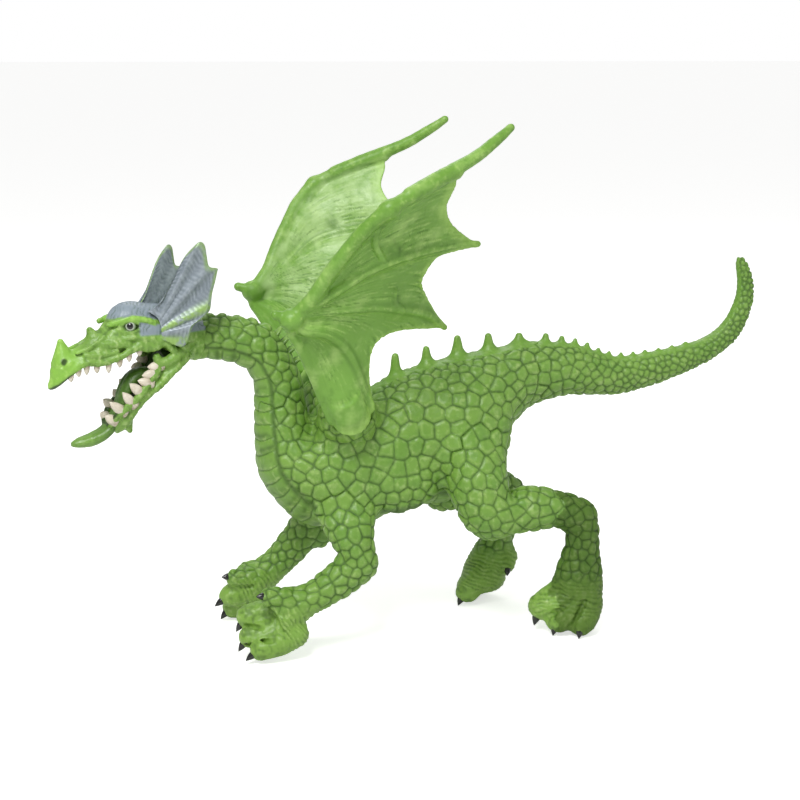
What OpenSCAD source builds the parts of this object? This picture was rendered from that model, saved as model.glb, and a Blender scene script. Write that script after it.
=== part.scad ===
// Moulded dragon figure: a four-legged winged dragon standing on its feet.
// Millimetres, +Z up, the head toward -X, the tail toward +X, its left side toward -Y.
// The origin is on the ground, under the middle of the bounding box.

/* [Trunk] */
// Length from the neck joint to the tail joint
trunk_length = 72; // [62:1:90]
// Width over the ribs
trunk_width = 32; // [26:1:40]
// Depth from the back to the belly at the ribs
trunk_depth = 42; // [36:1:50]
// Height of the belly above the ground
belly_height = 39; // [33:1:48]

/* [Neck and head] */
// Height that the neck rises above its joint with the trunk
neck_rise = 25; // [20:1:32]
// Turn of the head toward the left side
head_turn = 14; // [0:1:25]
// Length of the skull from the neck to the nose
skull_length = 43; // [36:1:52]
// Diameter of each eye
eye_d = 4; // [3:0.2:5]
// Length of the longest lower tooth
tooth_length = 4; // [2.5:0.1:6]
// Thickness of each ear frill
frill_t = 2; // [1.4:0.1:3]

/* [Tail] */
// Length of the tail along X
tail_length = 73; // [60:1:88]

/* [Legs] */
// Distance from the middle plane to the middle of each foot
foot_stance = 18; // [16:0.5:22]
// Length of each claw outside its toe
claw_length = 2.5; // [2:0.5:4]

/* [Wings] */
// Width over both wings
wing_span = 96; // [86:1:112]
// Height of a wing above the middle of its root disc
wing_height = 81; // [68:1:96]
// Thickness of the wing membrane
membrane_t = 1.2; // [0.8:0.1:2]
// Diameter of the finger that stiffens the wing
finger_d = 4; // [3:0.2:5.5]
// Diameter of the root disc that turns in the shoulder
root_d = 15.5; // [14:0.5:17]
// Thickness of the root disc
root_t = 4; // [3:0.5:5]
// Diameter of the pivot peg
pivot_d = 5.2; // [4:0.2:6.4]
// Length of the pivot peg inside the shoulder
pivot_length = 8; // [7:0.5:9]
// Height of the snap bead on the pivot peg
bead_h = 0.4; // [0.2:0.1:0.6]

/* [Fits] */
// Diameter of the glued pegs between the moulded pieces
peg_d = 4; // [3:0.5:5]
// Length of each glued peg
peg_length = 6; // [4:0.5:8]
// Radial clearance round a glued peg
peg_gap = 0.1; // [0.05:0.05:0.2]
// Radial clearance round a pivot peg
pivot_gap = 0.05; // [0.03:0.01:0.1]
// Clearance round a root disc
disc_gap = 0.4; // [0.3:0.1:0.8]

/* [Hidden] */
$fn = 48;
skin_sides = 16;
eps = 0.01;
green = "#6f9d3e";
silver = "#9aa5ab";
ivory = "#d9cfba";
black = "#20241f";

// ---------------------------------------------------------------- drawn sizes and how they stretch
// The sections below are drawn at these sizes, and stretch with the values above.
drawn_trunk = [72, 32, 42];
drawn_belly = 39;
drawn_rise = 25;
drawn_skull = 43;
drawn_tail = 73;
drawn_stance = 18;
drawn_span = 96;
drawn_wing = 81;
trunk_k = [trunk_length / drawn_trunk.x, trunk_width / drawn_trunk.y, trunk_depth / drawn_trunk.z];
neck_k = neck_rise / drawn_rise;
skull_k = skull_length / drawn_skull;
tail_k = tail_length / drawn_tail;

function on_trunk(p) = [
    p.x * trunk_k.x, p.y * trunk_k.y, belly_height + (p.z - drawn_belly) * trunk_k.z
];
// A piece that grows from a drawn point of the trunk keeps its place on the stretched one.
function from_joint(p, drawn, k) = on_trunk(drawn) + [
    (p.x - drawn.x) * k.x, (p.y - drawn.y) * k.y, (p.z - drawn.z) * k.z
];

// ---------------------------------------------------------------- skins
// A section is [top x, top z, bottom x, bottom z, middle y, half width]; its ring is an ellipse.
function ring(s) = let (mid = [s[0] + s[2], s[1] + s[3]] / 2, arm = [s[0] - s[2], s[1] - s[3]] / 2) [
    for (i = [0:skin_sides - 1]) let (a = 360 * i / skin_sides)
        [mid.x + arm.x * cos(a), s[4] + s[5] * sin(a), mid.y + arm.y * cos(a)]
];
// The halfway value between b and c on a smooth curve through a, b, c and d.
function between(a, b, c, d) = (9 * (b + c) - a - d) / 16;
function smoothed(list) = let (n = len(list) - 1) [
    for (i = [0:n - 1])
        each [list[i], between(list[max(i - 1, 0)], list[i], list[i + 1], list[min(i + 2, n)])],
    list[n]
];

function sum(v, i = 0) = i == len(v) - 1 ? v[i] : v[i] + sum(v, i + 1);
function mean(v) = sum(v) / len(v);
// True where the rings run so that their faces must be turned over to point outward.
function turned(rings) = let (
    n = len(rings[0]),
    across = rings[0][0] - rings[0][n / 2],
    side = rings[0][n / 4] - rings[0][3 * n / 4]
) cross(across, side) * (mean(rings[1]) - mean(rings[0])) < 0;

module skin(rings) {
    n = len(rings[0]);
    last = len(rings) - 1;
    flip = turned(rings);
    faces = [
        for (j = [0:last - 1], i = [0:n - 1]) let (k = (i + 1) % n, a = j * n, b = a + n)
            each [[a + i, b + i, b + k], [a + i, b + k, a + k]],
        [for (i = [0:n - 1]) i],
        [for (i = [n - 1:-1:0]) last * n + i]
    ];
    polyhedron([for (r = rings) each r], flip ? [for (f = faces) [for (i = [len(f) - 1:-1:0]) f[i]]] : faces);
}

// ---------------------------------------------------------------- trunk
neck_joint = [-42.5, 0, 73];
tail_joint = [36.5, 0, 77.5];
neck_section = [-35, 73, -50, 73, 0, 7.5];
tail_section = [36, 87, 37, 68, 0, 8];
trunk_sections = [
    neck_section, [-34, 67, -50, 62, 0, 9], [-33, 65, -49, 51, 0, 11], [-30, 67, -44, 42.5, 0, 13],
    [-26, 71, -37, 36, 0, 14.5], [-21, 73, -28, 34, 0, 15.5], [-15, 75, -16, 35.5, 0, 16],
    [-9, 78, -6.5, 39, 0, 16], [0, 81, 3.5, 39.5, 0, 15.5], [8.5, 83, 12, 40.5, 0, 15],
    [18, 84.5, 20, 48, 0, 13.5], [25.5, 85.5, 26.5, 59.5, 0, 11], [31, 87, 33, 66, 0, 9], tail_section
];
trunk_rings = [for (s = smoothed(trunk_sections)) [for (p = ring(s)) on_trunk(p)]];
neck_start = on_trunk(neck_joint);
tail_start = on_trunk(tail_joint);

// Spines of the back: [x, base z, tip z, base radius]
back_spines = [
    [-7.5, 74, 85.4, 3.2], [2.3, 77, 87.1, 3.3], [12, 79.5, 90, 3.4], [21.8, 81.5, 90.2, 3.3],
    [31.4, 83.5, 89.8, 3.2]
];
tail_spines = [
    [40, 85, 90, 2], [45, 84.5, 89, 1.8], [49.5, 84, 88, 1.6], [53.5, 82.5, 86.5, 1.4], [57.5, 81, 84.5, 1.2]
];

module spine(base, tip_z, r) {
    translate(base) cylinder(h = tip_z - base.z, r1 = r, r2 = r / 3);
}

// ---------------------------------------------------------------- wing root
root_tilt = 20;
root_centre = [-26, -15, 73];
boss_r = root_d / 2 + disc_gap + 1.6;
recess = 1.5;
bead_z = 5;
bead_w = 1.6;

// Places its children on the wing's pivot axis, which leaves the shoulder along local +Z.
module at_root() {
    translate(on_trunk(root_centre)) rotate([90 - root_tilt, 0, 0]) children();
}

module both_sides() {
    children();
    mirror([0, 1, 0]) children();
}

module shoulder_bosses() {
    both_sides() at_root() translate([0, 0, -11.5]) cylinder(h = 11.5 + recess, r1 = boss_r + 2, r2 = boss_r);
}

// The pivot peg with its snap bead, or with a gap above zero the bore that it turns in.
module pivot_peg(gap = 0) {
    end_gap = gap > 0 ? disc_gap : 0;
    translate([0, 0, -pivot_length - end_gap]) cylinder(h = pivot_length + 1, r = pivot_d / 2 + gap);
    translate([0, 0, -bead_z - bead_w / 2 - gap])
        cylinder(h = bead_w + 2 * gap, r = pivot_d / 2 + bead_h + gap);
}

module pivot_bore() {
    cylinder(h = root_t, r = root_d / 2 + disc_gap);
    pivot_peg(pivot_gap);
}

// ---------------------------------------------------------------- glued pegs
// A peg from a joint into the neighbour, and its socket where gap is above zero.
module peg(at, turn, gap = 0) {
    start = -2 - gap;
    translate(at) rotate(turn) translate([0, 0, start])
        cylinder(h = peg_length + gap - start, r = peg_d / 2 + gap);
}
neck_turn = [180, 0, 0];
tail_turn = [0, -90, 0];
head_peg_turn = [0, 90, head_turn];
shoulder = [-25, 0, 43];
hip = [13, 0, 57];
leg_seat = 14;

// The peg of a leg, from inside the thigh into the trunk's side.
module leg_peg(root, side, gap = 0) {
    seat = leg_seat * trunk_k.y;
    inner = seat - peg_length - gap;
    outer = seat + (gap > 0 ? 8 : 2.5);
    translate(on_trunk([root.x, 0, root.z])) rotate([-side * 90, 0, 0]) translate([0, 0, inner])
        cylinder(h = outer - inner, r = peg_d / 2 + gap);
}

module trunk_skin() {
    skin(trunk_rings);
}

module torso() {
    color(green) difference() {
        union() {
            trunk_skin();
            shoulder_bosses();
            for (s = back_spines) spine(on_trunk([s[0], 0, s[1]]), on_trunk([0, 0, s[2]]).z, s[3]);
        }
        both_sides() at_root() pivot_bore();
        peg(neck_start, neck_turn, peg_gap);
        peg(tail_start, tail_turn, peg_gap);
        for (root = [shoulder, hip], side = [-1, 1]) leg_peg(root, side, peg_gap);
    }
}

// ---------------------------------------------------------------- neck
head_section = [-66.5, 98, -69, 86.5, 0, 5.8];
neck_sections = [
    neck_section, [-35, 79, -50, 78.5, 0, 7.5], [-36, 84.5, -51, 80.5, 0, 7.5],
    [-39, 90.5, -52, 82.5, 0, 7.2], [-44.5, 95, -53.5, 83.5, 0, 7], [-50.5, 97, -56.5, 85, 0, 6.6],
    [-56.5, 98, -60.5, 86, 0, 6.3], [-62, 98.5, -64, 86.5, 0, 6]
];
drawn_head = [-67.8, 0, 92];
neck_stretch = [1, 1, neck_k];
head_joint = from_joint(drawn_head, neck_joint, neck_stretch);

function on_neck(p) = from_joint(p, neck_joint, neck_stretch);
// From the head's own frame, which starts at the head joint with the nose toward -X.
function turned_head(p) = let (q = p * skull_k) head_joint + [
    q.x * cos(head_turn) - q.y * sin(head_turn), q.x * sin(head_turn) + q.y * cos(head_turn), q.z
];
nape_section = [1, 6, -1, -5.5, 0, 5.8];
nape_ring = [for (p = ring(nape_section)) turned_head(p)];
neck_rings = [for (s = smoothed(neck_sections)) [for (p = ring(s)) on_neck(p)]];
// The neck starts with the trunk's own first ring, and ends with the skull's.
neck_skin = concat([trunk_rings[0]], [for (i = [1:len(neck_rings) - 1]) neck_rings[i]], [nape_ring]);

module neck() {
    color(green) difference() {
        union() {
            skin(neck_skin);
            peg(neck_start, neck_turn);
        }
        shoulder_bosses();
        peg(head_joint, head_peg_turn, peg_gap);
    }
}

// ---------------------------------------------------------------- tail
tail_sections = [
    tail_section, [42, 86.5, 43, 69.5, 0, 7.6], [49.5, 85.5, 49.5, 70, 0, 7], [58, 82.5, 57.5, 69.5, 0, 6],
    [64.5, 81, 65, 69.5, 0, 5.3], [74.5, 82, 76.5, 72, 0, 4.7], [84, 83.5, 87.5, 75.5, 0, 4],
    [93, 86, 97, 80, 0, 3.4], [99, 90.5, 105, 86.5, 0, 3], [103, 97, 109, 96.5, 0, 2.7],
    [103.6, 102.5, 108.6, 104, 0, 2.2], [102.5, 108.5, 106.5, 108.5, 0, 1.7], [103, 111, 104.5, 111, 0, 0.8]
];

function on_tail(p) = from_joint(p, tail_joint, [tail_k, 1, 1]);

// The tail starts with the trunk's own last ring.
tail_rings = [for (s = smoothed(tail_sections)) [for (p = ring(s)) on_tail(p)]];
trunk_end = trunk_rings[len(trunk_rings) - 1];

module tail() {
    color(green) union() {
        skin(concat([trunk_end], [for (i = [1:len(tail_rings) - 1]) tail_rings[i]]));
        peg(tail_start, tail_turn);
        for (s = tail_spines) spine(on_tail([s[0], 0, s[1]]), on_tail([0, 0, s[2]]).z, s[3]);
    }
}

// ---------------------------------------------------------------- head, in its own frame
skull_sections = [
    nape_section, [-4.5, 9, -6.5, -3, 0, 8], [-10.5, 11.5, -11.5, -2, 0, 8.5], [-15.5, 11.5, -17, -2, 0, 8.2],
    [-21, 10.5, -21.5, -3.5, 0, 7.4], [-25.5, 6.5, -25, -4.5, 0, 6.2], [-29.5, 5, -29, -5.5, 0, 5.6],
    [-33.5, 2, -33, -6, 0, 5.2], [-37.5, 1.5, -37, -8.5, 0, 4.8], [-40.5, 0, -40, -10, 0, 3.5],
    [-42.5, -4, -41.5, -11, 0, 2]
];
jaw_sections = [
    [-5, -2.5, -2.5, -5.5, 0, 5.5], [-12, -4.5, -6.5, -9, 0, 7.4], [-15, -8.5, -10, -13, 0, 7.6],
    [-18, -12, -14, -17, 0, 7.4], [-21, -15, -17, -20, 0, 7], [-24, -18, -20.5, -23.5, 0, 6],
    [-25.3, -21, -23, -26, 0, 4.5], [-26, -23.5, -24.8, -27, 0, 2.5]
];
trough_sections = [
    [-17, -4, -11, -8.5, 0, 5.6], [-20, -8, -13.5, -12, 0, 5.6], [-23, -12, -17, -15.5, 0, 5.4],
    [-26, -15.5, -20, -18.5, 0, 5], [-29, -18.5, -23, -21, 0, 4]
];
tongue_sections = [
    [-14.5, -8.5, -13.5, -10, 0, 3], [-20, -14.5, -18.5, -16.5, 0, 3.2], [-24.5, -19, -23.5, -21, 0, 3.2],
    [-28, -22, -27.4, -24.4, 0, 2.8], [-30, -23.5, -29.7, -26.2, 0, 2.6],
    [-32.5, -24.5, -32.5, -27.2, 0, 2.2], [-36.5, -25.2, -36.8, -27.4, 0, 1.2], [-38, -26.4, -38, -27, 0, 0.4]
];
eye_place = [-20.5, 6, 6.2];

function head_rings(sections) = [for (s = smoothed(sections)) [for (p = ring(s)) turned_head(p)]];

module on_head() {
    translate(head_joint) rotate([0, 0, head_turn]) children();
}

// A cone from a base point to a tip point.
module cone(base, tip, r1, r2 = 0.3) {
    d = tip - base;
    translate(base) rotate([0, acos(d.z / norm(d)), atan2(d.y, d.x)]) cylinder(h = norm(d), r1 = r1, r2 = r2);
}

module skull_skin() {
    skin(head_rings(skull_sections));
}

module eyeballs(gap = 0) {
    on_head() both_sides() translate([eye_place.x, -eye_place.z, eye_place.y] * skull_k)
        sphere(d = eye_d + 2 * gap);
}

module skull() {
    color(green) difference() {
        union() {
            skull_skin();
            peg(head_joint, head_peg_turn);
            on_head() cone([-37.5, 0, 0] * skull_k, [-39.3, 0, 3.5] * skull_k, 2.2);
            on_head() cone([-30, 0, 4] * skull_k, [-30.5, 0, 7] * skull_k, 2);
        }
        eyeballs(eps);
    }
}

module eyes() {
    color(black) eyeballs();
}

module jaw_skin() {
    skin(head_rings(jaw_sections));
}

module tongue_skin() {
    skin(head_rings(tongue_sections));
}

module lower_jaw() {
    color(green) difference() {
        jaw_skin();
        skin(head_rings(trough_sections));
        skull_skin();
        tongue_skin();
    }
}

module tongue() {
    color(green) tongue_skin();
}

// Teeth stand in two rows that follow the edges of the mouth.
upper_count = 7;
lower_count = 5;

module upper_teeth() {
    color(ivory) difference() {
        on_head() for (i = [0:upper_count - 1], side = [-1, 1]) {
            root = [-19 - 2.6 * i, side * (5.6 - 0.35 * i), -1.6 - 0.5 * i];
            cone(root * skull_k, root * skull_k + [0, 0, -tooth_length * 0.9], 0.9);
        }
        skull_skin();
    }
}

module lower_teeth() {
    color(ivory) difference() {
        on_head() for (i = [0:lower_count - 1], side = [-1, 1]) {
            root = [-15.2 - 2.1 * i, side * (6.4 - 0.45 * i), -9.8 - 2.4 * i];
            cone(root * skull_k, root * skull_k + [-0.75, 0, 0.66] * tooth_length, 1.2);
        }
        jaw_skin();
        tongue_skin();
    }
}

// One fan of the frill, flat in its own plane: along the head, then up.
frill_outline = [
    [-16.5, 12.8], [-13.4, 14.8], [-9, 20.5], [-2, 29.5], [-0.2, 24], [3.4, 22], [1.8, 16], [0.8, 11],
    [-0.7, 8], [-6, 0.5], [-14, 1.4]
];
frill_out = 11.6;
frill_turn = 22.8;

module frill_fan() {
    translate([0, -frill_out * skull_k, 0]) rotate([90, 0, -frill_turn])
        linear_extrude(frill_t, center = true) polygon(frill_outline * skull_k);
}

module left_frill() {
    color(silver) difference() {
        on_head() frill_fan();
        skull_skin();
    }
}

module right_frill() {
    color(silver) difference() {
        on_head() mirror([0, 1, 0]) frill_fan();
        skull_skin();
    }
}

// ---------------------------------------------------------------- legs
// Each section runs from the leg's front to its back; the last one is the flat sole on the ground.
left_fore_sections = [
    [-32, 47, -17, 49, -9, 6], [-34, 41, -17, 41, -12, 8], [-33, 35, -18, 35.5, -15, 7.5],
    [-31.5, 31, -19, 29.5, -17, 6.5], [-31.5, 28.5, -20, 23, -18, 5.5], [-35, 25.5, -25, 18.5, -18, 5],
    [-39, 22.5, -32, 14.5, -18, 4.6], [-43.5, 21, -37.5, 11, -18, 5.5], [-49, 20.5, -40.5, 7, -18, 7.5],
    [-55, 17, -42, 3.5, -18, 8.5], [-56.5, 9, -42.5, 1.5, -18, 8.5], [-55, 0, -42.5, 0, -18, 7.5]
];
right_fore_sections = [
    [-32, 47, -17, 49, 9, 6], [-34, 42, -18, 43, 12, 7.5], [-35.5, 37.5, -21, 36, 15, 7],
    [-37, 33, -25.5, 26.5, 17, 6], [-40, 27.5, -31, 19.5, 18, 5.2], [-44.5, 22.5, -36.5, 13, 18, 4.6],
    [-49, 20.5, -42, 9.5, 18, 5.2], [-54.5, 19.5, -45.5, 5.5, 18, 6.4], [-59.5, 15, -48, 2.5, 18, 7.5],
    [-61, 8, -49, 1, 18, 7.5], [-59.5, 0, -48.5, 0, 18, 6.5]
];
left_hind_sections = [
    [5.5, 69, 21.5, 63.5, -9, 5], [4, 61, 22.5, 58, -12, 8], [4.5, 49.5, 22.5, 51, -15, 9],
    [7, 41, 23, 45, -17, 8.5], [10.5, 34.5, 24, 44, -18, 8], [16, 29.5, 24, 45, -18, 7.5],
    [23, 31, 25, 45.5, -18, 7], [29.5, 32, 29.5, 46, -18, 7], [36.5, 32, 37, 45.5, -18, 6.5],
    [41, 30.5, 48.5, 40.5, -18, 6], [41.5, 29, 51, 35, -18, 5.5], [41.5, 26, 51.5, 26, -18, 5.5],
    [39, 19.5, 52.5, 18, -18, 6], [37, 14, 53, 13, -18, 6.5], [33, 11, 52, 6, -18, 7.5],
    [31, 5, 51, 2, -18, 8.5], [32, 0, 50, 0, -18, 7.5]
];
right_hind_sections = [
    [5.5, 69, 21.5, 63.5, 9, 5], [3, 61, 21.5, 58, 12, 8], [2, 50, 20.5, 50.5, 15, 9],
    [3, 41.5, 19.5, 44, 17, 8.5], [6, 34.5, 20, 43, 18, 8], [11, 29, 20, 44, 18, 7.5],
    [18, 30, 21, 44.5, 18, 7], [24, 30.5, 25, 44.5, 18, 6.7], [29.5, 30, 32, 43.5, 18, 6.3],
    [32, 28, 40.5, 37, 18, 6], [30, 25, 40, 30, 18, 5.5], [27, 21.5, 37, 22, 18, 5.3],
    [25, 18, 35.5, 16, 18, 5.6], [21, 14, 34.5, 10.5, 18, 6.6], [17, 8, 29.5, 3, 18, 7.5],
    [16.5, 0, 27.5, 0, 18, 6.5]
];

// The top of a leg follows its root on the trunk, and its sole stays on the ground.
function on_leg(p, root) = let (now = on_trunk(root)) [
    p.x + now.x - root.x, p.y * foot_stance / drawn_stance, p.z * now.z / root.z
];

module leg_skin(sections, root) {
    skin([for (s = smoothed(sections)) [for (p = ring(s)) on_leg(p, root)]]);
}

module leg(sections, root, side) {
    color(green) {
        difference() {
            leg_skin(sections, root);
            trunk_skin();
        }
        leg_peg(root, side);
    }
}

module left_foreleg() {
    leg(left_fore_sections, shoulder, -1);
}

module right_foreleg() {
    leg(right_fore_sections, shoulder, 1);
}

module left_hindleg() {
    leg(left_hind_sections, hip, -1);
}

module right_hindleg() {
    leg(right_hind_sections, hip, 1);
}

// A claw is [root inside the toe, direction]; claw_length is what stands out of the toe.
claw_root = 1.5;
claw_r = 1.6;
left_fore_claws = [
    [[-54, -13, 11], [-3, -0.5, -0.5]], [[-55, -17, 8], [-3, -0.5, -1]],
    [[-53.5, -21.5, 5.5], [-2, -0.5, -1.8]], [[-51, -22, 17], [-2.5, -0.6, 1.6]]
];
right_fore_claws = [
    [[-57, 14, 15], [-2, -0.5, 1.2]], [[-59, 16, 9], [-3, 0, -1]], [[-57.5, 20, 4.5], [-2, 0.5, -1.8]]
];
left_hind_claws = [
    [[34, -13.5, 5], [-3, 0, -1.2]], [[35, -20, 4.2], [-2.2, -0.8, -1.9]],
    [[41, -23.5, 4.5], [-1, -1.6, -1.5]], [[41, -13, 17], [-2.6, 0.8, -1.4]]
];
right_hind_claws = [
    [[19.5, 15, 5], [-2.6, -0.5, -1.9]], [[20.5, 21, 4.5], [-2.2, 0.8, -2]],
    [[29.5, 13.5, 14], [1.2, -2, -1.6]]
];

module claws(places, sections, root) {
    color(black) difference() {
        for (c = places) {
            start = on_leg(c[0], root);
            way = c[1] / norm(c[1]);
            cone(start, start + way * (claw_root + claw_length), claw_r);
        }
        leg_skin(sections, root);
    }
}

// ---------------------------------------------------------------- wings
// The left wing: its fingers fan out from the wrist, and each list runs from the wrist to a tip.
wrist = [-44.6, -29.5, 101.5];
wing_ribs = [
    [wrist, [-39.7, -32.5, 107], [-35.6, -36.5, 114.5], [-31.5, -40.5, 121], [-27.4, -44, 126.9],
     [-20.7, -46.5, 132.9], [-8.3, -42.5, 138.8], [-0.9, -39.5, 141.4]],
    [wrist, [-37.8, -32, 106], [-30.8, -35, 110.8], [-25.5, -37, 114.5], [-19.4, -37.5, 117.1],
     [-10, -34.5, 119.2], [-0.2, -30, 120.1], [9.7, -26, 120.2]],
    [wrist, [-37.3, -31, 103.4], [-29.5, -31.5, 103.9], [-21.5, -30, 103.9], [-12.9, -26.5, 102.5],
     [-3.2, -20, 99.6], [3.9, -13, 94.7]],
    [wrist, [-41.7, -30.5, 98.2], [-35.5, -30, 97], [-30.2, -28, 93.4], [-26.4, -25, 87.9],
     [-23.4, -22, 80.6], [-20.1, -19.4, 73.5]],
    [wrist, [-46, -29.5, 97.7], [-44, -29, 94.2], [-41.4, -27, 88.9], [-38.5, -23.5, 81.6],
     [-35.8, -21.5, 75.3], [-33.6, -20.4, 69.5]]
];
// The free edges of the membrane between the tips, and last the seam round the root disc
wing_edges = [
    [[-0.9, -39.5, 141.4], [-0.7, -38, 137.6], [-2.5, -36, 132.3], [-0.6, -33, 127.6],
     [3.6, -30, 123.9], [9.7, -26, 120.2]],
    [[9.7, -26, 120.2], [2.1, -29, 118.8], [-3.6, -30, 117.2], [-7.1, -28, 111.1],
     [-5.1, -23.5, 106.7], [-1, -18, 101.2], [3.9, -13, 94.7]],
    [[3.9, -13, 94.7], [-2.6, -17.5, 95.3], [-9.1, -21, 95.9], [-15.4, -23.5, 95.4],
     [-19.9, -24.5, 92.6], [-21.1, -22.5, 86.3], [-20.4, -20.5, 79.6], [-20.1, -19.4, 73.5]],
    [[-20.1, -19.4, 73.5], [-20.8, -20.8, 68.8], [-24.3, -21.9, 65.5], [-28.5, -22.2, 64.9],
     [-31.6, -21.8, 66.2], [-33.6, -20.4, 69.5]]
];
first_finger_sections = [
    [[-14.9, -45, 136], 2], [[-8.3, -42.5, 139], 2], [[-1.5, -39.8, 142], 1.9],
    [[6.1, -36.5, 145.5], 1.7], [[12, -34, 149.2], 1.5], [[17.1, -32, 152.8], 1.15]
];
// The round knuckle at the wrist: [place along X, radius]
knuckle_steps = [[-3.4, 1], [-2.6, 2.3], [-1, 3.3], [1, 3.3], [2.6, 2.3], [3.4, 1]];
wing_rows = 10;
sector_columns = 8;
wing_face = [-0.29, 0.87, 0.4];
root_now = on_trunk(root_centre);
span_k = (wing_span / 2 + root_now.y) / (drawn_span / 2 + root_centre.y);

function on_wing(p) = from_joint(p, root_centre, [1, span_k, wing_height / drawn_wing]);
// The point a share s of the way along a list of evenly spaced points.
function along(points, s) = let (f = s * (len(points) - 1), i = min(floor(f), len(points) - 2))
    points[i] + (points[i + 1] - points[i]) * (f - i);
ribs_smooth = [for (r = wing_ribs) smoothed(r)];
edges_smooth = [for (e = wing_edges) smoothed(e)];
// A point of the membrane: s from the wrist to the edge, t across the sector.
function membrane(k, s, t) = let (
    a = ribs_smooth[k],
    b = ribs_smooth[k + 1],
    end = along(a, 1) * (1 - t) + along(b, 1) * t
) along(a, s) * (1 - t) + along(b, s) * t + (along(edges_smooth[k], t) - end) * pow(s, 3);
function half_thickness(s, t) = membrane_t / 2
    + (finger_d - membrane_t) / 2 * (1 - 0.55 * s) * pow(max(0, 1 - 3.2 * min(t, 1 - t)), 1.5);

module membrane_skin() {
    sectors = len(wing_edges);
    columns = sectors * sector_columns;
    width = columns + 1;
    spots = [for (i = [0:wing_rows], j = [0:columns]) let (
        s = 0.05 + 0.95 * i / wing_rows,
        k = min(floor(j / sector_columns), sectors - 1),
        t = j / sector_columns - k
    ) [on_wing(membrane(k, s, t)), half_thickness(s, t)]];
    n = len(spots);
    outer = [for (p = spots) p[0] - wing_face * p[1]];
    inner = [for (p = spots) p[0] + wing_face * p[1]];
    border = [
        each [for (j = [0:columns - 1]) j],
        each [for (i = [0:wing_rows - 1]) i * width + columns],
        each [for (j = [columns:-1:1]) wing_rows * width + j],
        each [for (i = [wing_rows:-1:1]) i * width]
    ];
    faces = [
        for (i = [0:wing_rows - 1], j = [0:columns - 1]) let (a = i * width + j, b = a + width) each [
            [a, b + 1, a + 1], [a, b, b + 1], [n + a, n + a + 1, n + b + 1], [n + a, n + b + 1, n + b]
        ],
        for (i = [0:len(border) - 1]) let (a = border[i], b = border[(i + 1) % len(border)])
            each [[a, n + b, n + a], [a, b, n + b]]
    ];
    polyhedron(concat(outer, inner), faces);
}

// A round finger along a list of [point, radius].
module finger(sections) {
    n = len(sections) - 1;
    skin([for (i = [0:n]) let (
        way = sections[min(i + 1, n)][0] - sections[max(i - 1, 0)][0],
        side = cross(way, [0, 0, 1]) / norm(cross(way, [0, 0, 1])),
        up = cross(side, way) / norm(way)
    ) [for (j = [0:skin_sides - 1]) let (a = 360 * j / skin_sides)
        on_wing(sections[i][0]) + (up * cos(a) + side * sin(a)) * sections[i][1] * finger_d / 4]]);
}

module wing() {
    membrane_skin();
    finger(first_finger_sections);
    finger([for (step = knuckle_steps) [wrist + [step[0], 0, 0], step[1]]]);
    cone(on_wing(wrist), on_wing(wrist + [-6, -1, 2.2]), finger_d * 0.55, 0.4);
    at_root() {
        translate([0, 0, disc_gap]) cylinder(h = root_t - disc_gap, r = root_d / 2);
        pivot_peg();
    }
}

module left_wing() {
    color(green) wing();
}

module right_wing() {
    color(green) mirror([0, 1, 0]) wing();
}

torso();
neck();
tail();
skull();
lower_jaw();
tongue();
upper_teeth();
lower_teeth();
eyes();
left_frill();
right_frill();
left_foreleg();
right_foreleg();
left_hindleg();
right_hindleg();
claws(left_fore_claws, left_fore_sections, shoulder);
claws(right_fore_claws, right_fore_sections, shoulder);
claws(left_hind_claws, left_hind_sections, hip);
claws(right_hind_claws, right_hind_sections, hip);
left_wing();
right_wing();
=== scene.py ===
import math

import bpy
import numpy as np
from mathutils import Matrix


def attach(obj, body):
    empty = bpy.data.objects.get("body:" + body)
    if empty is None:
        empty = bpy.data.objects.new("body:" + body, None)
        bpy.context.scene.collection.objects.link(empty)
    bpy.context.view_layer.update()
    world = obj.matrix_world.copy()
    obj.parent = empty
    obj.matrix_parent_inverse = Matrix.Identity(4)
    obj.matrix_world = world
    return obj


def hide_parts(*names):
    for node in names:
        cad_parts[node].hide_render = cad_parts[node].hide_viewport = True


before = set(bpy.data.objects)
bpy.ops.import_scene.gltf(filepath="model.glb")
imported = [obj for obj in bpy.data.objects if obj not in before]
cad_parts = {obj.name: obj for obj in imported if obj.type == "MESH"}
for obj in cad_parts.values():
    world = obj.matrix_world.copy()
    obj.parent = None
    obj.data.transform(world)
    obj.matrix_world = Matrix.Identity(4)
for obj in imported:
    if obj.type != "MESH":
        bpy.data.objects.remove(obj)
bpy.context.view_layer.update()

import openvdb as vdb
from mathutils import Vector, kdtree

# Working units below are millimetres in the CAD frame: head toward -X, left side toward -Y, ground at 0.
MM = 0.001
FINE = 0.3            # sculpting grid of the head
BODY_GRID = 0.34      # sculpting grid of the body and the wings
HEAD_JOINT = np.array([-67.8, 0.0, 92.0])
HEAD_TURN = math.radians(14)
rng = np.random.default_rng(7)
# Camera: what it looks at and how far off it stands in metres, its lens in mm, its angles in degrees.
TARGET = Vector((-0.006, 0, 0.071))
CAMERA_DISTANCE, CAMERA_LENS = 0.51, 76.5
CAMERA_TURN, CAMERA_RISE = -15, 11.5
FLOOR_HALF = 40       # metres
FLOOR_GLOW = 0.6      # light of the floor toward the camera only


# ------------------------------------------------------------------ small helpers
def smoothstep(lo, hi, v):
    t = np.clip((v - lo) / (hi - lo), 0.0, 1.0)
    return t * t * (3 - 2 * t)


def smooth_min(a, b, k):
    """The lower of two fields, blended where they are within k of each other."""
    if k <= 0:
        return np.minimum(a, b)
    h = np.maximum(k - np.abs(a - b), 0.0) / k
    return np.minimum(a, b) - h * h * k / 4


def smooth_max(a, b, k):
    return -smooth_min(-a, -b, k)


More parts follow.
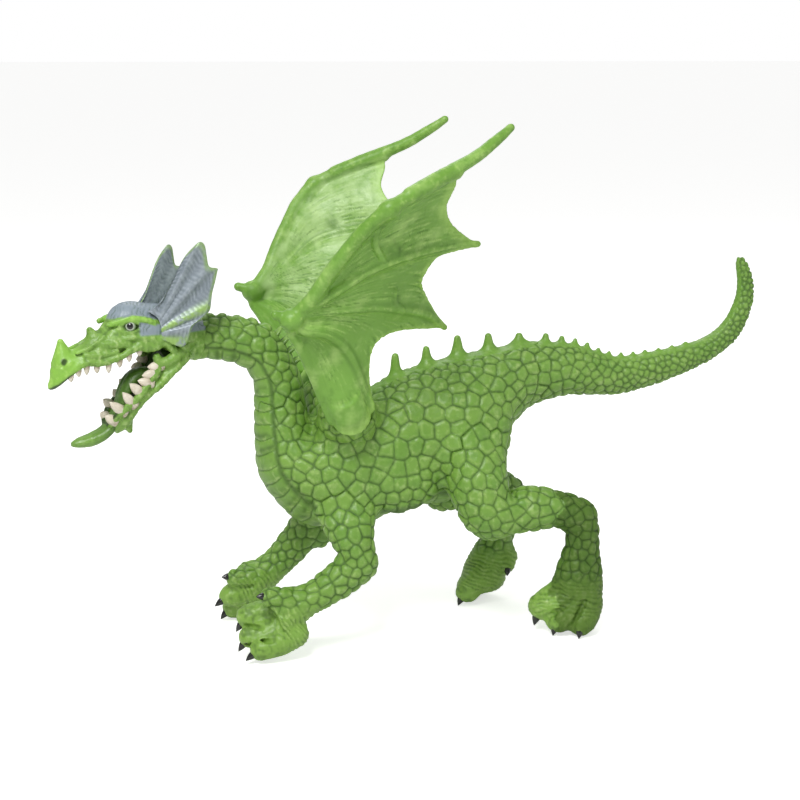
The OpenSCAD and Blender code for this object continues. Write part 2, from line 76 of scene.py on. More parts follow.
def curve(points, per_span):
    """A smooth curve through points (rows of any width), with per_span steps between neighbours."""
    p = np.asarray(points, float)
    ext = np.vstack([2 * p[0] - p[1], p, 2 * p[-1] - p[-2]])
    out = []
    for i in range(len(p) - 1):
        a, b, c, d = ext[i:i + 4]
        for t in np.linspace(0, 1, per_span, endpoint=False):
            out.append(0.5 * (2 * b + (c - a) * t + (2 * a - 5 * b + 4 * c - d) * t * t
                              + (3 * b - a - 3 * c + d) * t ** 3))
    out.append(p[-1])
    return np.array(out)


def noise(points, scale, seed):
    """Smooth value noise between -1 and 1 at points, with features about scale across."""
    q = np.asarray(points) / scale + 100.0 + seed * 17.3
    i = np.floor(q).astype(np.int64)
    f = q - i
    f = f * f * (3 - 2 * f)
    total = 0.0
    for dx in (0, 1):
        for dy in (0, 1):
            for dz in (0, 1):
                n = (i[:, 0] + dx) * 73856093 ^ (i[:, 1] + dy) * 19349663 ^ (i[:,
                    2] + dz) * 83492791 ^ seed * 2654435
                value = ((n * 1103515245 + 12345) & 0x7FFFFFFF) / 0x3FFFFFFF - 1.0
                weight = (f[:, 0] if dx else 1 - f[:, 0]) * (f[:, 1] if dy else 1 - f[:, 1])
                total = total + value * weight * (f[:, 2] if dz else 1 - f[:, 2])
    return total


def head_out(q):
    """From the head's own frame, nose toward -X and its joint at the origin, to the figure's frame."""
    c, s = math.cos(HEAD_TURN), math.sin(HEAD_TURN)
    q = np.asarray(q, float)
    return np.stack([q[..., 0] * c - q[..., 1] * s, q[..., 0] * s + q[..., 1] * c, q[..., 2]],
        -1) + HEAD_JOINT


# ------------------------------------------------------------------ clay: a field of distances
class Clay:
    """A block of distances to a surface, negative inside, that shapes are blended into."""

    def __init__(self, low, high, step):
        self.step = step
        self.reach = 12 * step
        self.first = np.floor(np.array(low) / step).astype(int)
        self.size = np.ceil(np.array(high) / step).astype(int) - self.first + 1
        self.d = np.full(self.size, self.reach, np.float32)

    def axes(self, window):
        return [((np.arange(s.start, s.stop) + o) * self.step).astype(np.float32)
                for s, o in zip(window, self.first)]

    def window(self, low, high):
        a = np.clip(np.floor(np.array(low) / self.step).astype(int) - self.first, 0, self.size)
        b = np.clip(np.ceil(np.array(high) / self.step).astype(int) - self.first + 1, 0, self.size)
        return tuple(slice(int(p), int(q)) for p, q in zip(a, b))

    def gradient(self, points, step=0.4):
        """The outward direction of the field at points."""
        way = np.stack([self.at(points + o) - self.at(points - o) for o in np.eye(3) * step], 1)
        return way / np.maximum(np.linalg.norm(way, axis=1, keepdims=True), 1e-9)

    def put(self, window, d, k, cut=False):
        if min(s.stop - s.start for s in window) <= 0:
            return
        old = self.d[window]
        self.d[window] = smooth_max(old, -d, k) if cut else smooth_min(old, d, k)

    def ball(self, centre, radii, k=1.0, cut=False, turn=None):
        """An ellipsoid; turn is a 3x3 matrix whose rows are its own axes."""
        c = np.array(centre, float)
        r = np.array(radii, float) * np.ones(3)
        w = self.window(c - r.max() - k - 1, c + r.max() + k + 1)
        x, y, z = self.axes(w)
        p = [x[:, None, None] - c[0], y[None, :, None] - c[1], z[None, None, :] - c[2]]
        if turn is not None:
            p = [row[0] * p[0] + row[1] * p[1] + row[2] * p[2] for row in turn]
        f = np.sqrt(sum((v / s) ** 2 for v, s in zip(p, r)) + 1e-9)
        g = np.sqrt(sum((v / (s * s)) ** 2 for v, s in zip(p, r)) + 1e-9)
        self.put(w, np.clip(f * (f - 1) / g, -self.reach, self.reach).astype(np.float32), k, cut)

    def limb(self, a, b, ra, rb, k=1.0, cut=False):
        """A rounded cone from a to b."""
        a, b = np.array(a, float), np.array(b, float)
        m = max(ra, rb) + k + 1
        w = self.window(np.minimum(a, b) - m, np.maximum(a, b) + m)
        x, y, z = self.axes(w)
        p = [x[:, None, None] - a[0], y[None, :, None] - a[1], z[None, None, :] - a[2]]
        way = b - a
        t = np.clip((p[0] * way[0] + p[1] * way[1] + p[2] * way[2]) / (way @ way), 0, 1)
        d = np.sqrt(sum((v - t * c) ** 2 for v, c in zip(p, way))) - (ra + (rb - ra) * t)
        self.put(w, d.astype(np.float32), k, cut)

    def chain(self, points, k=1.0, cut=False):
        """Rounded cones through [x, y, z, radius] rows, joined smoothly to each other."""
        rows = curve(points, 4)
        low = (rows[:, :3] - rows[:, 3:]).min(0) - k - 1
        high = (rows[:, :3] + rows[:, 3:]).max(0) + k + 1
        w = self.window(low, high)
        if min(s.stop - s.start for s in w) <= 0:
            return
        x, y, z = self.axes(w)
        best = np.full([len(x), len(y), len(z)], self.reach, np.float32)
        for a, b in zip(rows[:-1], rows[1:]):
            p = [x[:, None, None] - a[0], y[None, :, None] - a[1], z[None, None, :] - a[2]]
            way = b[:3] - a[:3]
            t = np.clip((p[0] * way[0] + p[1] * way[1] + p[2] * way[2]) / max(way @ way, 1e-6), 0, 1)
            d = np.sqrt(sum((v - t * c) ** 2 for v, c in zip(p, way))) - (a[3] + (b[3] - a[3]) * t)
            np.minimum(best, d, out=best)
        self.put(w, best, k, cut)

    def shell(self, points, quads, tris, margin=5.0):
        """The window round a closed mesh, and the distances to it there."""
        points = np.asarray(points, float)
        grid = vdb.FloatGrid.createLevelSetFromPolygons(
            points, triangles=np.asarray(tris, np.uint32).reshape(-1, 3),
            quads=np.asarray(quads, np.uint32).reshape(-1, 4),
            transform=vdb.createLinearTransform(voxelSize=self.step), halfWidth=12.0)
        w = self.window(points.min(0) - margin, points.max(0) + margin)
        out = np.empty([s.stop - s.start for s in w], np.float32)
        grid.copyToArray(out, ijk=tuple(int(s.start + f) for s, f in zip(w, self.first)))
        return w, out

    def mesh(self, d=None, window=None):
        """Points and quads of the surface of the whole field, or of another one in a window."""
        start = [w.start for w in window] if window else [0, 0, 0]
        grid = vdb.FloatGrid()
        grid.background = float(self.reach)
        grid.copyFromArray(np.ascontiguousarray(self.d if d is None else d),
                           ijk=tuple(int(a + b) for a, b in zip(self.first, start)))
        grid.transform = vdb.createLinearTransform(voxelSize=self.step)
        points, quads = grid.convertToQuads(0.0)
        return np.array(points, float), np.array(quads).astype(np.int64)

    def at(self, points):
        """The field's value at points."""
        return sample(self.d, np.asarray(points) / self.step - self.first)


def sample(d, q):
    """The value of a block at grid positions q, from the eight cells round each."""
    i = np.clip(np.floor(q).astype(int), 0, np.array(d.shape) - 2)
    f = np.clip(q - i, 0, 1)
    total = 0.0
    for dx in (0, 1):
        for dy in (0, 1):
            for dz in (0, 1):
                w = (f[:, 0] if dx else 1 - f[:, 0]) * (f[:, 1] if dy else 1 - f[:, 1])
                total = total + d[i[:, 0] + dx, i[:, 1] + dy,
                    i[:, 2] + dz] * w * (f[:, 2] if dz else 1 - f[:, 2])
    return total


def rings_of(sections, sides=40, per_span=5):
    """Elliptical rings from [top x, top z, bottom x, bottom z, middle y, half width] sections."""
    rows = curve(sections, per_span)
    a = np.linspace(0, 2 * np.pi, sides, endpoint=False)
    mid = (rows[:, 0:2] + rows[:, 2:4]) / 2
    arm = (rows[:, 0:2] - rows[:, 2:4]) / 2
    return np.stack([mid[:, :1] + arm[:, :1] * np.cos(a), rows[:, 4:5] + rows[:, 5:6] * np.sin(a),
                     mid[:, 1:] + arm[:, 1:] * np.cos(a)], -1)


def tube_mesh(rings):
    """A closed tube over rings of points: points, quads and the triangles that cap it."""
    n, m = rings.shape[:2]
    i = np.arange(m)
    k = (i + 1) % m
    quads = np.concatenate([np.stack([j * m + i, j * m + k, (j + 1) * m + k, (j + 1) * m + i],
        1) for j in range(n - 1)])
    points = np.vstack([rings.reshape(-1, 3), rings[0].mean(0), rings[-1].mean(0)])
    last = (n - 1) * m
    tris = np.concatenate([np.stack([np.full(m, n * m), k, i], 1),
        np.stack([np.full(m, n * m + 1), last + i, last + k], 1)])
    return points, quads, tris


def loft(clay, sections, k=1.0, cut=False, sides=40, per_span=5, margin=5.0):
    w, d = clay.shell(*tube_mesh(rings_of(sections, sides, per_span)), margin)
    clay.put(w, d, k, cut)
    return w, d


def make_piece(name, points, faces, material, marks=None, sharp=False):
    """A mesh object from millimetre points and equal-length faces, with float marks on its points."""
    points = np.asarray(points, float) * MM
    faces = np.asarray(faces, np.int64)
    mesh = bpy.data.meshes.new(name)
    mesh.vertices.add(len(points))
    mesh.vertices.foreach_set("co", points.astype(np.float32).ravel())
    mesh.loops.add(faces.size)
    mesh.loops.foreach_set("vertex_index", faces.astype(np.int32).ravel())
    mesh.polygons.add(len(faces))
    mesh.polygons.foreach_set("loop_start", np.arange(0, faces.size, faces.shape[1], dtype=np.int32))
    mesh.polygons.foreach_set("use_smooth", np.full(len(faces), not sharp))
    mesh.update(calc_edges=True)
    for key, values in (marks or {}).items():
        layer = mesh.attributes.new(key, "FLOAT", "POINT")
        layer.data.foreach_set("value", np.asarray(values, np.float32))
    mesh.materials.append(material)
    piece = bpy.data.objects.new(name, mesh)
    bpy.context.scene.collection.objects.link(piece)
    return piece


# ------------------------------------------------------------------ materials
def hexa(code):
    """An sRGB hex value as linear RGBA."""
    out = []
    for i in (1, 3, 5):
        c = int(code[i:i + 2], 16) / 255
        out.append(c / 12.92 if c <= 0.04045 else ((c + 0.055) / 1.055) ** 2.4)
    return (*out, 1.0)


def add_node(tree, kind, values=None, links=None, **settings):
    """Adds a node: settings are its properties, values its socket numbers, links its incoming sockets."""
    node = tree.nodes.new(kind)
    for key, value in settings.items():
        setattr(node, key, value)
    for key, value in (values or {}).items():
        node.inputs[key].default_value = value
    for key, source in (links or {}).items():
        tree.links.new(source, node.inputs[key])
    return node


# ------------------------------------------------------------------ the body's sections
# Each row: top x, top z, bottom x, bottom z, middle y, half width.
NECK = [
    [-66.5, 98, -69, 86.5, 0, 5.8], [-62, 98.5, -64, 86.5, 0, 6], [-56.5, 98, -60.5, 86, 0, 6.3],
    [-50.5, 96.6, -56.5, 85, 0, 6.6], [-45, 94, -53.5, 83.5, 0, 7], [-41, 89.6, -52, 82.5, 0, 7.2],
    [-38.2, 84.5, -51, 80.5, 0, 7.5], [-36.2, 79, -50, 78, 0, 7.5], [-35.4, 73, -50, 73, 0, 7.8],
]
TRUNK = [
    [-34, 67, -50, 62, 0, 9.5], [-33, 65, -49, 51, 0, 12], [-30, 67, -44, 42.5, 0, 14],
    [-26, 71, -37, 36, 0, 15], [-21, 73, -28, 34, 0, 15.5], [-15, 75, -16, 35.5, 0, 16],
    [-9, 78, -6.5, 39, 0, 16], [0, 81, 3.5, 39.5, 0, 15.5], [8.5, 83, 12, 40.5, 0, 15],
    [18, 84.5, 20, 48, 0, 13.5], [25.5, 85.5, 26.5, 59.5, 0, 11], [31, 87, 33, 66, 0, 9],
]
TAIL = [
    [36, 87, 37, 68, 0, 8], [42, 86.5, 43, 69.5, 0, 7.6], [49.5, 85.5, 49.5, 70, 0, 7],
        [58, 82.5, 57.5, 69.5, 0, 6],
    [64.5, 81, 65, 69.5, 0, 5.3], [74.5, 82, 76.5, 72, 0, 4.7], [84, 83.5, 87.5, 75.5, 0, 4],
    [93, 86, 97, 80, 0, 3.4], [99, 90.5, 104.5, 86.5, 0, 3], [102.5, 97, 108.5, 96.5, 0, 2.7],
    [103.2, 102.5, 108.2, 104, 0, 2.2], [102.5, 108.5, 106.3, 108.5, 0, 1.7],
        [103, 110.6, 104.5, 110.6, 0, 0.9],
]
LEGS = {
    "left_foreleg": [
        [-32, 47, -17, 49, -9, 6], [-34, 41, -17, 41, -12, 8], [-32.6, 36, -18.5, 36, -15, 7.5],
        [-30.8, 32, -18.6, 30.5, -17, 6.5], [-29.6, 29, -18.4, 24, -18, 5.6],
            [-34, 25.2, -24.5, 18.8, -18, 5],
        [-38.5, 21.8, -31.5, 15, -18, 4.6], [-43, 20.8, -37.6, 12, -17.8, 5.2],
            [-47, 20.4, -41.8, 8, -17.6, 6.2],
        [-50, 17.6, -44.6, 4.6, -17.4, 6.8],
    ],
    "right_foreleg": [
        [-32, 47, -17, 49, 9, 6], [-34, 42, -18, 43, 12, 7.5], [-35.5, 37.5, -21, 36, 15, 7],
        [-36.2, 32, -25, 27.6, 17, 6], [-39.6, 26.4, -30.5, 20.8, 18, 5.2], [-44, 21.2, -36.6, 15, 18, 4.6],
        [-48, 19, -41.8, 10.2, 18, 5.2], [-51.8, 18, -45, 6, 18, 6.2], [-54, 15, -48, 3.8, 18, 6.6],
    ],
    "left_hindleg": [
        [5.5, 69, 21.5, 63.5, -9, 5], [4, 61, 22.5, 58, -12, 8], [4.5, 49.5, 22.5, 51, -15, 9],
        [6.6, 41, 23, 45, -17, 8.5], [10, 34.5, 24, 44.4, -18, 8], [16, 31, 24.4, 45.2, -18, 7.5],
        [23, 32.2, 25.4, 45.8, -18, 7], [29.5, 32.8, 29.8, 46.4, -18, 6.8], [37, 33.4, 37.6, 44.6, -18, 6.4],
        [40.6, 31.6, 48.4, 40.3, -18, 5.8], [41.5, 29, 50.8, 34.6, -18, 5.4],
            [40.8, 25.6, 51.4, 26.6, -18, 5.4],
        [38.6, 20.4, 52.6, 18.8, -18, 5.8], [37.8, 15, 52.9, 12.6, -18, 6.3], [39, 9.4, 51, 6.2, -18, 6.2],
    ],
    "right_hindleg": [
        [5.5, 69, 21.5, 63.5, 9, 5], [3, 61, 21.5, 58, 12, 8], [2, 50, 20.5, 50.5, 15, 9],
        [3, 41.5, 19.5, 44, 17, 8.5], [6, 35, 20, 43.4, 18, 8], [11, 31, 20.4, 44, 18, 7.5],
        [18, 31.4, 21, 44.6, 18, 7], [24, 31.6, 25, 44.6, 18, 6.7], [29.5, 31, 32, 43.5, 18, 6.3],
        [32, 28.6, 40, 37, 18, 5.9], [30.2, 25.4, 40, 30.6, 18, 5.5], [27, 21.6, 37, 23.4, 18, 5.3],
        [23.6, 17.6, 35.4, 14.8, 18, 5.8], [20.6, 12.2, 33, 9.2, 18, 6.1], [19.6, 8, 29, 4.4, 18, 5.8],
    ],
}
# Toes: rows of [x, y, z, radius] from the foot to the tip, then the claw's direction.
TOES = {
    "left_foreleg": [
        ([[-44, -14.5, 12.6, 4], [-50, -13.6, 12.4, 3.9], [-55.4, -13, 11.6, 3.5]], [-0.7, 0.1, -0.75]),
        ([[-44, -17.5, 9.6, 4.2], [-50, -17.4, 8, 4], [-55.6, -17, 7, 3.4]], [-0.7, 0, -0.75]),
        ([[-43, -20.4, 7.6, 4], [-48, -21, 5.6, 3.9], [-53, -21.2, 4.2, 3.4]], [-0.9, -0.1, -0.45]),
        ([[-43, -18.6, 16.6, 3.4], [-47.4, -20.2, 18.6, 3.2], [-50.4, -20.8, 19.4, 2.7]], [-1, -0.3, 0.35]),
    ],
    "right_foreleg": [
        ([[-48, 14.5, 13.4, 4], [-53, 13.6, 14.8, 3.3], [-55, 13, 15.4, 2.7]], [-1, -0.3, 0.35]),
        ([[-48, 16, 10.5, 4.2], [-54, 15.5, 9.6, 3.9], [-56.2, 15.4, 8.8, 3.2]], [-1, -0.2, -0.4]),
        ([[-48, 19.4, 7.4, 4], [-53, 20, 4.6, 3.8], [-54.6, 20, 3.7, 3.2]], [-0.8, -0.2, -0.6]),
    ],
    "left_hindleg": [
        ([[45, -16, 11.4, 5.6], [39, -16, 9.8, 5.2], [34.6, -15.4, 7.8, 4.1]], [-0.5, 0, -1]),
        ([[46, -18, 8.8, 5.6], [41, -18.8, 7.2, 5.2], [38.4, -20.2, 4.6, 3.9]], [-0.5, -0.3, -1]),
        ([[47, -19, 8, 5], [45.8, -22, 5.4, 4.4], [44.4, -23.4, 4, 3.6]], [-0.4, -0.7, -0.9]),
        ([[46, -14, 17, 3.2], [42.4, -12.6, 16.2, 2.5]], [-1, 0.3, -0.5]),
    ],
    "right_hindleg": [
        ([[28, 15.5, 9, 4.6], [22.4, 14.6, 6.8, 4.4], [20, 14, 4.6, 3.7]], [-0.8, -0.2, -1]),
        ([[29, 18.5, 7.4, 4.4], [25, 20.4, 5, 4], [22.4, 21.4, 3.9, 3.4]], [-0.7, 0.2, -1]),
        ([[30, 20.5, 7, 4.2], [28.4, 23, 4.6, 3.6], [27.4, 24, 3.8, 3.3]], [-0.5, 0.7, -0.9]),
        ([[34, 14.4, 15, 2.8], [33, 12.6, 12.8, 2.3]], [-0.3, -0.8, -0.7]),
    ],
}
# Spines of the back and the tail: [foot x, foot z, tip x, tip z, radius at the foot]
SPINES = [
    [-7.3, 74.6, -7.5, 85.4, 2.5], [2.6, 77.6, 2.1, 87.1, 2.9], [12.3, 80.4, 11.8, 90, 3.1],
        [22.1, 82.3, 21.6, 90.2, 2.9],
    [31.4, 84, 31.4, 89.9, 3], [39.5, 84.8, 40, 89.4, 2.2], [44.8, 84.4, 45.2, 88.4, 1.9],
        [49.2, 83.8, 49.6, 87.4, 1.6],
    [53.2, 82.5, 53.6, 86, 1.4], [57, 81.2, 57.3, 84.2, 1.2], [60.5, 80.2, 60.8, 83, 1.1],
        [64.5, 80, 64.8, 82.4, 1],
    [68.5, 80.2, 68.7, 82.5, 0.9], [72.5, 80.6, 72.7, 82.8, 0.8], [77, 81.2, 77.2, 83.3, 0.8],
    [81.5, 81.8, 81.7, 83.9, 0.7], [86, 82.7, 86.2, 84.8, 0.7],
]

ROOT = np.array([-26.0, -15.0, 73.0])                    # middle of the left wing's root disc
OUT = np.array([0.0, -math.cos(math.radians(20)), math.sin(math.radians(20))])   # its pivot axis
DISC_UP = np.cross(OUT, [1.0, 0, 0])
DISC_UP = DISC_UP / np.linalg.norm(DISC_UP)


# ------------------------------------------------------------------ sculpting the body
def sculpt_body():
    clay = Clay([-73, -29, -1], [111, 29, 114], BODY_GRID)
    loft(clay, NECK + TRUNK + TAIL, 0, sides=56, per_span=6)
    for side in (-1, 1):
        clay.ball([-25, side * 11, 50], [9, 5, 11], 5)          # shoulder
        clay.ball([13, side * 10.5, 61], [12, 5.5, 12], 5)      # haunch
        clay.ball([-8, side * 11.5, 47], [9, 4.5, 7], 6)        # ribs
        hump = ROOT * [1, -side, 1]
        out = OUT * [1, -side, 1]
        clay.limb([-24, side * 5, 65], hump + [1, 0, -2] - out * 3.2, 8.5, 8.6, 4)
        turn = np.array([[1, 0, 0], out, DISC_UP * [1, -side, 1]])
        clay.ball(hump + out * 2.6, [8.1, 3.5, 8.1], 0.6, cut=True, turn=turn)      # seat of the wing's disc
        clay.limb(hump + out * 9, hump + out * 16, 7.8, 7.8, 0.6, cut=True)
    for x in np.arange(-63, -45, 4.1):                                       # bumps along the nape
        top = np.interp(x, [-66.5, -62, -56.5, -50.5, -45], [98, 98.5, 98, 96.6, 94])
        clay.ball([x, 0, top - 1.1], [1.9, 2.6, 2.1], 1.2)
    for x, low, tip_x, tip, r in SPINES:
        blunt = min(1.05, 0.42 * r)
        clay.limb([x, 0, low - 1], [tip_x, 0, tip - blunt], r, blunt, 2.6 if r > 2.3 else 1.5)
    trunk = clay.d.copy()
    legs = {}
    for name, rows in LEGS.items():
        legs[name] = loft(clay, rows, 3.5, sides=44, margin=12)
        side = np.sign(rows[0][4])
        for toe, _ in TOES[name]:
            clay.chain(toe, 2.4 if "hind" in name else 1.3)
        if name == "left_foreleg":
            for line in ([[-59, -15, 9.4], [-55, -17.5, 9.8], [-50, -24, 11.4]],
                [[-57, -18.5, 5.4], [-54, -21, 6.2], [-49.6, -24.8, 7.8]],
                         [[-54, -20, 16.6], [-50.5, -23, 15.4], [-46, -24, 14.6]]):
                clay.chain([p + [0.75] for p in line], 0.7, cut=True)
        elif name == "right_foreleg":
            for line in ([[-60, 12, 12.4], [-56, 11, 12.6], [-50, 11, 12.8]],
                [[-60, 13, 5.8], [-56, 14, 6], [-50, 12.6, 6.6]]):
                clay.chain([p + [0.75] for p in line], 0.7, cut=True)
        elif name == "left_hindleg":
            for line in ([[33.4, -19.6, 4.6], [37, -22, 8], [41.6, -23.6, 11.4]],
                [[40.6, -24.6, 2.6], [42.6, -24.4, 6.4], [45, -24, 11]]):
                clay.chain([p + [0.65] for p in line], 1.2, cut=True)
        else:
            for line in ([[18.4, 17.6, 4], [22, 13.4, 2.4], [26, 12.4, 6]], [[21, 18, 2.2], [25, 17.6, 2.4]]):
                clay.chain([p + [0.6] for p in line], 0.8, cut=True)
        if "fore" in name:
            clay.ball([-22, side * 17.5, 27.5] if side < 0 else [-27, 17.5, 26], [3, 4.4, 3.8], 3)   # elbow
    z = clay.axes(tuple(slice(0, int(s)) for s in clay.size))[2]
    clay.d = np.maximum(clay.d, -z[None, None, :]).astype(np.float32)     # soles flat on the ground
    return clay, trunk, legs


def joint_fields(clay, trunk, legs):
    """For each piece beside the torso, a field that is negative on its side of the joint."""
    everywhere = tuple(slice(0, int(s)) for s in clay.size)
    x, y, z = clay.axes(everywhere)
    x, y, z = x[:, None, None], y[None, :, None], z[None, None, :]
    fields = {
        "neck": (everywhere, np.maximum(np.maximum(73 - z, x + 33.6), np.abs(y) - 9.6)),
        "tail": (everywhere, np.broadcast_to(36.5 - x, clay.d.shape)),
    }
    for name, (window, d) in legs.items():
        low = clay.axes(window)[2][None, None, :] < 33
        fields[name] = (window, np.where(low, -clay.reach, (d - trunk[window]) / 2))
    return fields


# ------------------------------------------------------------------ where a point lies on the body
class Lines:
    """Finds, for points of the skin, the nearest ring of the spine line or of a leg."""

    def __init__(self):
        self.rings = [rings_of(NECK + TRUNK + TAIL, 96, 12)] + [rings_of(LEGS[n], 72, 10) for n in LEGS]
        rows, marks, self.ways = [], [], []
        for c, rings in enumerate(self.rings):
            middle = rings.mean(1)
            front = rings[:, rings.shape[1] // 2] if c == 0 else middle
            length = np.concatenate([[0], np.cumsum(np.linalg.norm(np.diff(front, axis=0), axis=1))])
            angle = np.linspace(0, 2 * np.pi, rings.shape[1], endpoint=False)
            along = np.gradient(rings, axis=0)
            around = (np.roll(rings, -1, 1) - np.roll(rings, 1, 1)) / 2
            slope = np.gradient(length)[:, None, None] / np.maximum((along ** 2).sum(-1, keepdims=True), 1e-4)
            bend = angle[1] / np.maximum((around ** 2).sum(-1, keepdims=True), 1e-4)
            rows.append(rings.reshape(-1, 3))
            self.ways.append(np.concatenate([along * slope, around * bend], -1).reshape(-1, 6))
            marks.append(np.stack([np.full(rings.shape[:2], c), np.repeat(length[:, None], rings.shape[1], 1),
                                   np.repeat(angle[None], len(rings), 0)], -1).reshape(-1, 3))
        self.points = np.vstack(rows)
        self.marks = np.vstack(marks)
        self.ways = np.vstack(self.ways)
        self.tree = kdtree.KDTree(len(self.points))
        for i, p in enumerate(self.points):
            self.tree.insert(p, i)
        self.tree.balance()

    def find(self, points):
        """Per point: line number, length along it, angle round it from the top, 0 to pi."""
        index = np.fromiter((self.tree.find(p)[1] for p in points), int, len(points))
        m, away, ways = self.marks[index], points - self.points[index], self.ways[index]
        length = m[:, 1] + np.clip(np.einsum("ij,ij->i", away, ways[:, :3]), -1.5, 1.5)
        angle = (m[:, 2] + np.clip(np.einsum("ij,ij->i", away, ways[:, 3:]), -0.1, 0.1)) % (2 * np.pi)
        return m[:, 0].astype(int), length, np.minimum(angle, 2 * np.pi - angle)


def plate_spacing(points, line, angle):
    """The distance between neighbouring scale plates, by place on the body."""
    x, z = points[:, 0], points[:, 2]
    spine = np.interp(x, [-70, -50, -40, -20, 20, 40, 60, 80, 105],
        [2.3, 2.9, 3.2, 3.5, 3.5, 2.8, 2.1, 1.6, 1.2])
    ridge = smoothstep(0.75, 0.25, angle) * (line == 0) * (x > -33)
    leg = np.interp(z, [10, 25, 40, 60], [2.4, 2.6, 3.2, 3.7])
    size = np.where(line == 0, spine, leg)
    return size * (1 - 0.35 * ridge) * (1.0 + 0.28 * noise(points, 5.0, 41))


def scatter_seeds(points, spacing):
    """Plate middles over the skin, no two nearer than their spacing, then evened out."""
    order = rng.permutation(len(points))[:60000]
    cells, kept = {}, []
    for i in order:
        p, r = points[i], spacing[i]
        key = tuple((p // 4).astype(int))
        near = False
        for dx in (-1, 0, 1):
            for dy in (-1, 0, 1):
                for dz in (-1, 0, 1):
                    for q, s in cells.get((key[0] + dx, key[1] + dy, key[2] + dz), ()):
                        if ((p[0] - q[0]) ** 2 + (p[1] - q[1]) ** 2 + (p[2] - q[2]) ** 2
                                < (0.5 * (r + s)) ** 2):
                            near = True
                            break
                    if near:
                        break
                if near:
                    break
            if near:
                break
        if not near:
            cells.setdefault(key, []).append((p, r))
            kept.append(i)
    seeds = points[kept]
    sample = points[order]
    tree = tree_of(seeds)
    owner = np.fromiter((tree.find(p)[1] for p in sample), int, len(sample))
    total = np.zeros_like(seeds)
    np.add.at(total, owner, sample)
    count = np.bincount(owner, minlength=len(seeds))[:, None]
    seeds = np.where(count > 3, 0.45 * seeds + 0.55 * total / np.maximum(count, 1), seeds)
    return seeds


def tree_of(points):
    tree = kdtree.KDTree(len(points))
    for i, p in enumerate(points):
        tree.insert(p, i)
    tree.balance()
    return tree


def plate_edges(points, seeds, tree):
    """Per point: its plate's number and the distance to the plate's edge."""
    near = np.empty((len(points), 4), int)
    for i, p in enumerate(points):
        near[i] = [f[1] for f in tree.find_n(p, 4)]
    a = seeds[near[:, 0]]
    edges = []
    for j in (1, 2, 3):
        b = seeds[near[:, j]]
        way = a - b
        edges.append(np.einsum("ij,ij->i", points - (a + b) / 2,
            way) / np.maximum(np.linalg.norm(way, axis=1), 1e-6))
    d = smooth_min(smooth_min(edges[0], edges[1], 0.5), edges[2], 0.5)
    return near[:, 0], np.maximum(d, 0)


# ------------------------------------------------------------------ joints between the pieces of the body
def refined(clay, window, field, tree_in, tree_out):
    """Moves a joint onto the plates' own edges, so that it runs along the grooves."""
    d = clay.d[window]
    near = (np.abs(field) < 4.5) & (np.abs(d) < 1.6)
    spots = np.argwhere(near)
    x, y, z = clay.axes(window)
    points = np.stack([x[spots[:, 0]], y[spots[:, 1]], z[spots[:, 2]]], 1).astype(float)
    inner = np.fromiter((tree_in.find(p)[2] for p in points), float, len(points))
    outer = np.fromiter((tree_out.find(p)[2] for p in points), float, len(points))
    out = field.astype(np.float32).copy()
    out[tuple(spots.T)] = (inner - outer) / 1.4
    return out


def split_body(clay, trunk, legs, seeds):
    """The window and field of each piece of the body."""
    fields = joint_fields(clay, trunk, legs)
    rest = clay.d.copy()
    pieces = {}
    for name, (window, field) in fields.items():
        low = [a[0] for a in clay.axes(window)]
        high = [a[-1] for a in clay.axes(window)]
        inside = np.all((seeds > low) & (seeds < high), 1)
        value = np.full(len(seeds), clay.reach)
        value[inside] = sample(field, (seeds[inside] - low) / clay.step)
        own, other = seeds[value < 0], seeds[(value >= 0)
            & np.all((seeds > np.array(low) - 8) & (seeds < np.array(high) + 8), 1)]
        field = refined(clay, window, field, tree_of(own), tree_of(other))
        pieces[name] = (window, np.maximum(clay.d[window], field))
        rest[window] = np.maximum(rest[window], -field)
    pieces["torso"] = (tuple(slice(0, int(s)) for s in clay.size), rest)
    return pieces


# ------------------------------------------------------------------ relief of the body's skin
def scute_zone(points, line, angle):
    """0 to 1: the broad cross bands under the neck, the chest and the belly."""
    x = points[:, 0]
    edge = np.interp(x, [-66, -50, -40, -25, 0, 20, 30], [1.95, 2.0, 2.15, 2.35, 2.45, 2.5, 3.3])
    return (line == 0) * (x < 30) * smoothstep(-0.02, 0.02,
        angle - edge), (line == 0) * (x < 30) * (angle - edge)


